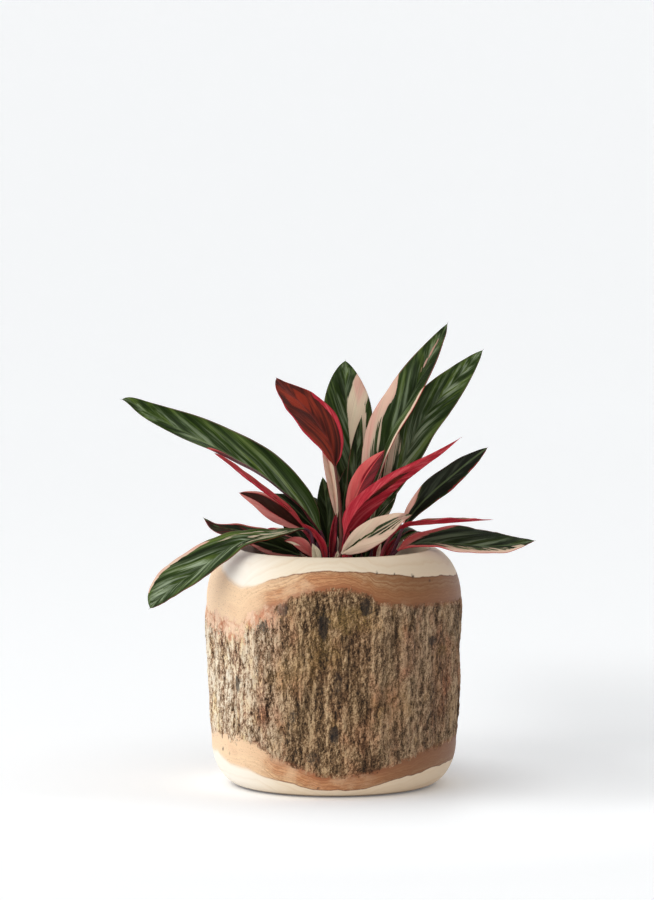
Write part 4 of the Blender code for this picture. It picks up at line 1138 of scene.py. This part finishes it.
def path_point(points, position):
    """A point on the smooth curve through points; position counts them from 0."""
    last = len(points) - 1
    index = min(int(position), last - 1)
    share = position - index
    here, there = points[index], points[index + 1]
    before = points[index - 1] if index > 0 else here * 2 - there
    after = points[index + 2] if index + 2 <= last else there * 2 - here
    out = (there - before) / 2
    into = (after - here) / 2
    return (here * (2 * share ** 3 - 3 * share ** 2 + 1) + there * (3 * share ** 2 - 2 * share ** 3)
            + out * (share ** 3 - 2 * share ** 2 + share) + into * (share ** 3 - share ** 2))


def even_points(points, first, last, count):
    """count points at even distances along the smooth curve between two of its points, and its length."""
    fine = 24 * (last - first)
    marks = [path_point(points, first + (last - first) * step / fine) for step in range(fine + 1)]
    lengths = [0]
    for mark, following in zip(marks, marks[1:]):
        lengths.append(lengths[-1] + (following - mark).length)
    even = []
    index = 0
    for step in range(count):
        wanted = lengths[-1] * step / (count - 1)
        while index < fine - 1 and lengths[index + 1] < wanted:
            index += 1
        share = (wanted - lengths[index]) / (lengths[index + 1] - lengths[index])
        even.append(marks[index].lerp(marks[index + 1], share))
    return even, lengths[-1]


def three_point(values, share):
    """A smooth curve through three values, at 0, a half and 1."""
    low, middle, high = values
    return (low * (1 - share) * (1 - 2 * share) + middle * 4 * share * (1 - share)
            + high * share * (2 * share - 1))


def outline(share, widest, blunt):
    """The half width of a blade, from 0 to 1. The last stretch is the hair of the tip."""
    if share < widest:
        return math.sin(math.pi / 2 * share / widest) ** BASE_FULLNESS
    toward_tip = min((share - widest) / (1 - HAIR - widest), 1)
    return math.cos(math.pi / 2 * toward_tip) ** blunt if toward_tip < 1 else 0


def ring_place(index):
    """Where a point of the ring lies: its share across, from 1 at the left to -1, and its side."""
    half_ring = RING_POINTS // 2
    step, side = (index, 1) if index < half_ring else (RING_POINTS - 1 - index, -1)
    across = 1 - step / HALF_COLUMNS
    return math.copysign(abs(across) ** 1.35, across), side


def blade_point(leaf, seed, share, length, across, side):
    """A point of the blade's section: how far left, how far up and how far from the rib it lies."""
    hand, turn = ("left", "left_turn") if across >= 0 else ("right", "right_turn")
    width = three_point(leaf[hand], share) * outline(share, leaf["widest"], leaf["blunt"]) * MM
    width = max(width, mix(HAIR_RADIUS, HAIR_TIP_RADIUS, max(share - 0.9, 0) * 10))
    body = min(width / NARROW, 1)
    angle = math.radians(three_point(leaf[turn], share)) * body
    height, count, phase = leaf["wave"]
    shift = RIGHT_WAVE_PHASE if across < 0 else 0
    swing_here = math.sin(2 * math.pi * count * share + math.radians(phase) + shift)
    ripple = height * MM * swing_here * across * across * math.sin(math.pi * share)
    out = abs(across) * width
    vein = (share * length - VEIN_SLOPE * out) / MM
    quilt = noise.noise(Vector((vein / 8, across * 0.8, seed))) * 0.35 * MM * body
    edge_wave = noise.noise(Vector((share * length / MM / 11, math.copysign(3, across), seed))) * 1.0 * MM
    ripple += quilt + edge_wave * across * across * body
    arch = SECTION_ARCH * width * math.sin(math.pi * abs(across))
    left = math.copysign(out * math.cos(angle), across) - math.copysign(arch * math.sin(angle), across)
    up = out * math.sin(angle) + arch * math.cos(angle) + ripple
    thickness = side * min(LEAF_THICKNESS, width) / 2
    beside_rib = math.exp(-(out / RIB_WIDTH) ** 2) * (1 - share) * body
    up -= beside_rib * (RIB_DEPTH if side < 0 else GROOVE_DEPTH)
    if abs(across) > 0.02:
        left -= math.copysign(1, across) * thickness * math.sin(angle)
        up += thickness * math.cos(angle)
    else:
        up += thickness
    return left, up, out


def sector_tone(look, vein_share, across):
    """pale, pink and dark at a place on the leaf, after every sector."""
    tone = [look["pale"], look["pink"], look["dark"]]
    for half, start, end, inner, outer, *values in look["sectors"]:
        if half and half * across < 0:
            continue
        cover = box(vein_share, start, end, 0.09) * box(abs(across), inner, outer, 0.16)
        tone = [mix(old, new, cover) for old, new in zip(tone, values)]
    return tone


def leaf_rings(leaf, look, seed):
    """Rings of (place, leaf_place, tone, distance from the rib) along the stalk and the blade."""
    x, y = leaf["soil"]
    top = SOIL_TOP / MM
    buried = [(x, y, top - STALK_DEPTH / MM), (x, y, top + 1)]
    points = [Vector(point) * MM for point in buried + leaf["stalk"] + leaf["rib"]]
    start = 2 + len(leaf["stalk"])
    stalk, stalk_length = even_points(points, 1, start, STALK_ROWS)
    blade, length = even_points(points, start, len(points) - 1, BLADE_ROWS + 1)
    centres = [points[0]] + stalk + blade[1:]
    foot_face, tip_face = (Vector(face) for face in leaf["face"])
    rings = []
    for number, centre in enumerate(centres):
        ahead = centres[min(number + 1, len(centres) - 1)]
        behind = centres[max(number - 1, 0)]
        along = (ahead - behind).normalized() if number >= 2 else Vector((0, 0, 1))
        share = max(number - STALK_ROWS, 0) / BLADE_ROWS
        face = foot_face.lerp(tip_face, share)
        upward = (face - along * face.dot(along)).normalized()
        leftward = upward.cross(along)
        flat = smooth(share / BLADE_START_ROUND)
        radius = mix(STALK_FOOT, BLADE_ROOT_RADIUS, min(number / STALK_ROWS, 1))
        travelled = share * length if share else (number / STALK_ROWS - 1) * stalk_length
        ring = []
        for index in range(RING_POINTS):
            across, side = ring_place(index)
            turn = math.pi * (2 * index + 1) / RING_POINTS
            blade_left, blade_up, out = blade_point(leaf, seed, share, length, across, side)
            left = mix(radius * math.cos(turn), blade_left, flat)
            up = mix(radius * math.sin(turn), blade_up, flat)
            vein = travelled - VEIN_SLOPE * out - VEIN_BEND * out * out
            tone = sector_tone(look, (travelled - SECTOR_SLOPE * out) / length + 0.1, across)
            ring.append((centre + leftward * left + upward * up, (across, vein * 100, seed), tone, out / MM))
        rings.append(ring)
    return rings


def make_leaf(name, leaf, look, seed, finishes, nodes=()):
    """A grid wrapped round the leaf's rings, with its values for the shaders."""
    rings = leaf_rings(leaf, look, seed)
    rows = len(rings)
    work = bmesh.new()
    bmesh.ops.create_grid(work, x_segments=RING_POINTS, y_segments=rows - 1, size=1)
    place = work.verts.layers.float_vector.new("leaf_place")
    labels = ("leaf_pale", "leaf_pink", "leaf_dark", "leaf_rib")
    layers = [work.verts.layers.float.new(label) for label in labels]
    for face in work.faces:
        middle = face.calc_center_median()
        column = (middle.x + 1) / 2 * RING_POINTS
        row = (middle.y + 1) / 2 * (rows - 1)
        face.material_index = 2 if row < STALK_ROWS + 2 else 0 if column < RING_POINTS / 2 - 1 else 1
    for vertex in work.verts:
        column = round((vertex.co.x + 1) / 2 * RING_POINTS) % RING_POINTS
        row = round((vertex.co.y + 1) / 2 * (rows - 1))
        vertex.co, vertex[place], tone, from_rib = rings[row][column]
        for layer, value in zip(layers, (*tone, from_rib)):
            vertex[layer] = value
    bmesh.ops.remove_doubles(work, verts=work.verts, dist=0.0000002)
    bmesh.ops.holes_fill(work, edges=work.edges, sides=RING_POINTS)
    bmesh.ops.recalc_face_normals(work, faces=work.faces)
    if work.calc_volume(signed=True) < 0:
        bmesh.ops.reverse_faces(work, faces=work.faces)
    mesh = finished(name, work)
    for label in ("feather_sheen", "margin"):
        put_values(mesh, "leaf_" + label, [look[label]] * len(mesh.vertices))
    show(mesh, finishes, nodes)


def make_leaves():
    veins = make_vein_group()
    blade = [upper_material(veins), under_material(veins)]
    stalks = {
        "purple": stalk_material("Purple stalk", (104, 38, 60), (58, 20, 38)),
        "red": stalk_material("Red stalk", (172, 48, 62), (112, 26, 40)),
        "brown": stalk_material("Brown stalk", (118, 58, 40), (70, 32, 25)),
    }
    for number, (name, leaf) in enumerate(LEAVES.items()):
        look = dict(zip(LOOK_LABELS, leaf["look"]), sectors=leaf["sectors"])
        finishes = [*blade, stalks[look["stalk_colour"]]]
        make_leaf(name + "_dressed", leaf, look, number + 1, finishes, [name])
    for number, (soil, rib, face, width, turn, values) in enumerate(SMALL_LEAVES):
        half = (width * 0.9, width, width * 0.9)
        turns = (turn, turn, turn)
        leaf = dict(soil=soil, stalk=[], rib=rib, face=(face, face), left=half, left_turn=turns, right=half,
                    right_turn=turns, widest=0.5, blunt=0.75, wave=(0.5, 2, number * 70))
        look = dict(zip(LOOK_LABELS, values), sectors=[])
        finishes = [*blade, stalks[look["stalk_colour"]]]
        make_leaf("small_leaf_%d" % (number + 1), leaf, look, number + 40, finishes)


# Stage


def floor_glow_and_painted_shadows(tree):
    """The floor's own light, with painted light and shadow round the pot: weaker close round it, stronger in
    front and beside it, and weaker behind it on the right.
    """
    spot = add_node(tree, "NewGeometry").outputs["Position"]
    away = add_node(tree, "VectorMath", {0: spot}, operation="LENGTH").outputs["Value"]
    right = axis(tree, spot, "X")
    back = axis(tree, spot, "Y")
    # Weaker close round the pot: a painted contact shadow.
    glow = remap(tree, away, 0.1, 0.36, GLOW * 0.55, GLOW)
    # Stronger in front of the pot and beside it on the right: painted light.
    front = times(tree, remap(tree, back, -0.04, -0.18, 0, 0.12), remap(tree, away, 0.46, 0.24))
    beside = times(tree, remap(tree, right, 0.07, 0.12, 0, 0.08), remap(tree, away, 0.26, 0.17))
    # Weaker behind the pot on the right: a painted stretch of the pot's shadow.
    behind = times(tree, remap(tree, back, 0.08, 0.26), remap(tree, back, 0.9, 0.42))
    behind = times(tree, remap(tree, right, 0.08, 0.24, 0, -0.12), behind)
    return weighted(tree, (glow, 1), (front, 1), (beside, 1), (behind, 1))


def make_floor():
    """A pale sweep: the floor, which curves up into a wall far behind."""
    work = bmesh.new()
    bmesh.ops.create_grid(work, x_segments=2, y_segments=FLOOR_ROWS, size=1)
    for vertex in work.verts:
        travel = (vertex.co.y + 1) / 2 * SWEEP_LENGTH - FLOOR_FRONT
        rise = max(travel - WALL_START, 0)
        bend = min(rise / WALL_BEND, math.pi / 2)
        y = min(travel, WALL_START) + WALL_BEND * math.sin(bend)
        z = WALL_BEND * (1 - math.cos(bend)) + max(rise - WALL_BEND * math.pi / 2, 0)
        vertex.co = Vector((vertex.co.x * FLOOR_HALF_WIDTH, y, z))
    mesh = finished("floor", work)
    floor = bpy.data.objects.new("floor", mesh)
    bpy.context.scene.collection.objects.link(floor)
    mesh.shade_smooth()
    finish, tree, shader = new_material("White floor", 0.8, 0.1)
    fill(tree, shader, {"Base Color": (0.9, 0.905, 0.91, 1), "Emission Color": (0.985, 0.995, 1.0, 1),
                        "Emission Strength": floor_glow_and_painted_shadows(tree)})
    mesh.materials.append(finish)


def aimed(name, kind, place, aim):
    """A light or camera at its place, turned towards its aim."""
    holder = bpy.data.objects.new(name, kind)
    holder.location = place
    holder.rotation_euler = (Vector(aim) - Vector(place)).to_track_quat("-Z", "Y").to_euler()
    bpy.context.scene.collection.objects.link(holder)
    return holder


def make_light():
    """A soft world that is brighter from the left, and a large soft window."""
    bpy.context.scene.view_settings.view_transform = "Standard"
    world = bpy.data.worlds.new("studio")
    world.use_nodes = True
    tree = world.node_tree
    toward = axis(tree, add_node(tree, "TexCoord").outputs["Generated"], "X")
    fill(tree, tree.nodes["Background"], {
        "Color": (0.98, 0.99, 1.0, 1), "Strength": remap(tree, toward, -1.0, 1.0, WORLD_LEFT, WORLD_RIGHT)})
    bpy.context.scene.world = world
    window = bpy.data.lights.new("window", "AREA")
    window.shape = "DISK"
    window.size = 3.0
    window.energy = 22
    window.color = (1.0, 0.985, 0.96)
    aimed("window", window, (-2.0, -1.1, 1.9), (0, 0, 0.15))


def make_camera():
    lens = bpy.data.cameras.new("camera")
    lens.sensor_fit = "VERTICAL"
    lens.sensor_height = 36
    lens.lens = 193.8
    lens.clip_end = 60
    bpy.context.scene.camera = aimed("camera", lens, (-0.0055, -3.8, 0.587), (-0.0055, 0, 0.264))


make_camera()
make_floor()
make_light()
make_pot(log_material(make_bark_group(), make_wood_group()))
make_soil(soil_material())
make_chips(chip_material("Bark chips", (96, 74, 54), (40, 30, 23)),
           chip_material("Perlite", (225, 220, 208), (170, 160, 145)))
make_leaves()
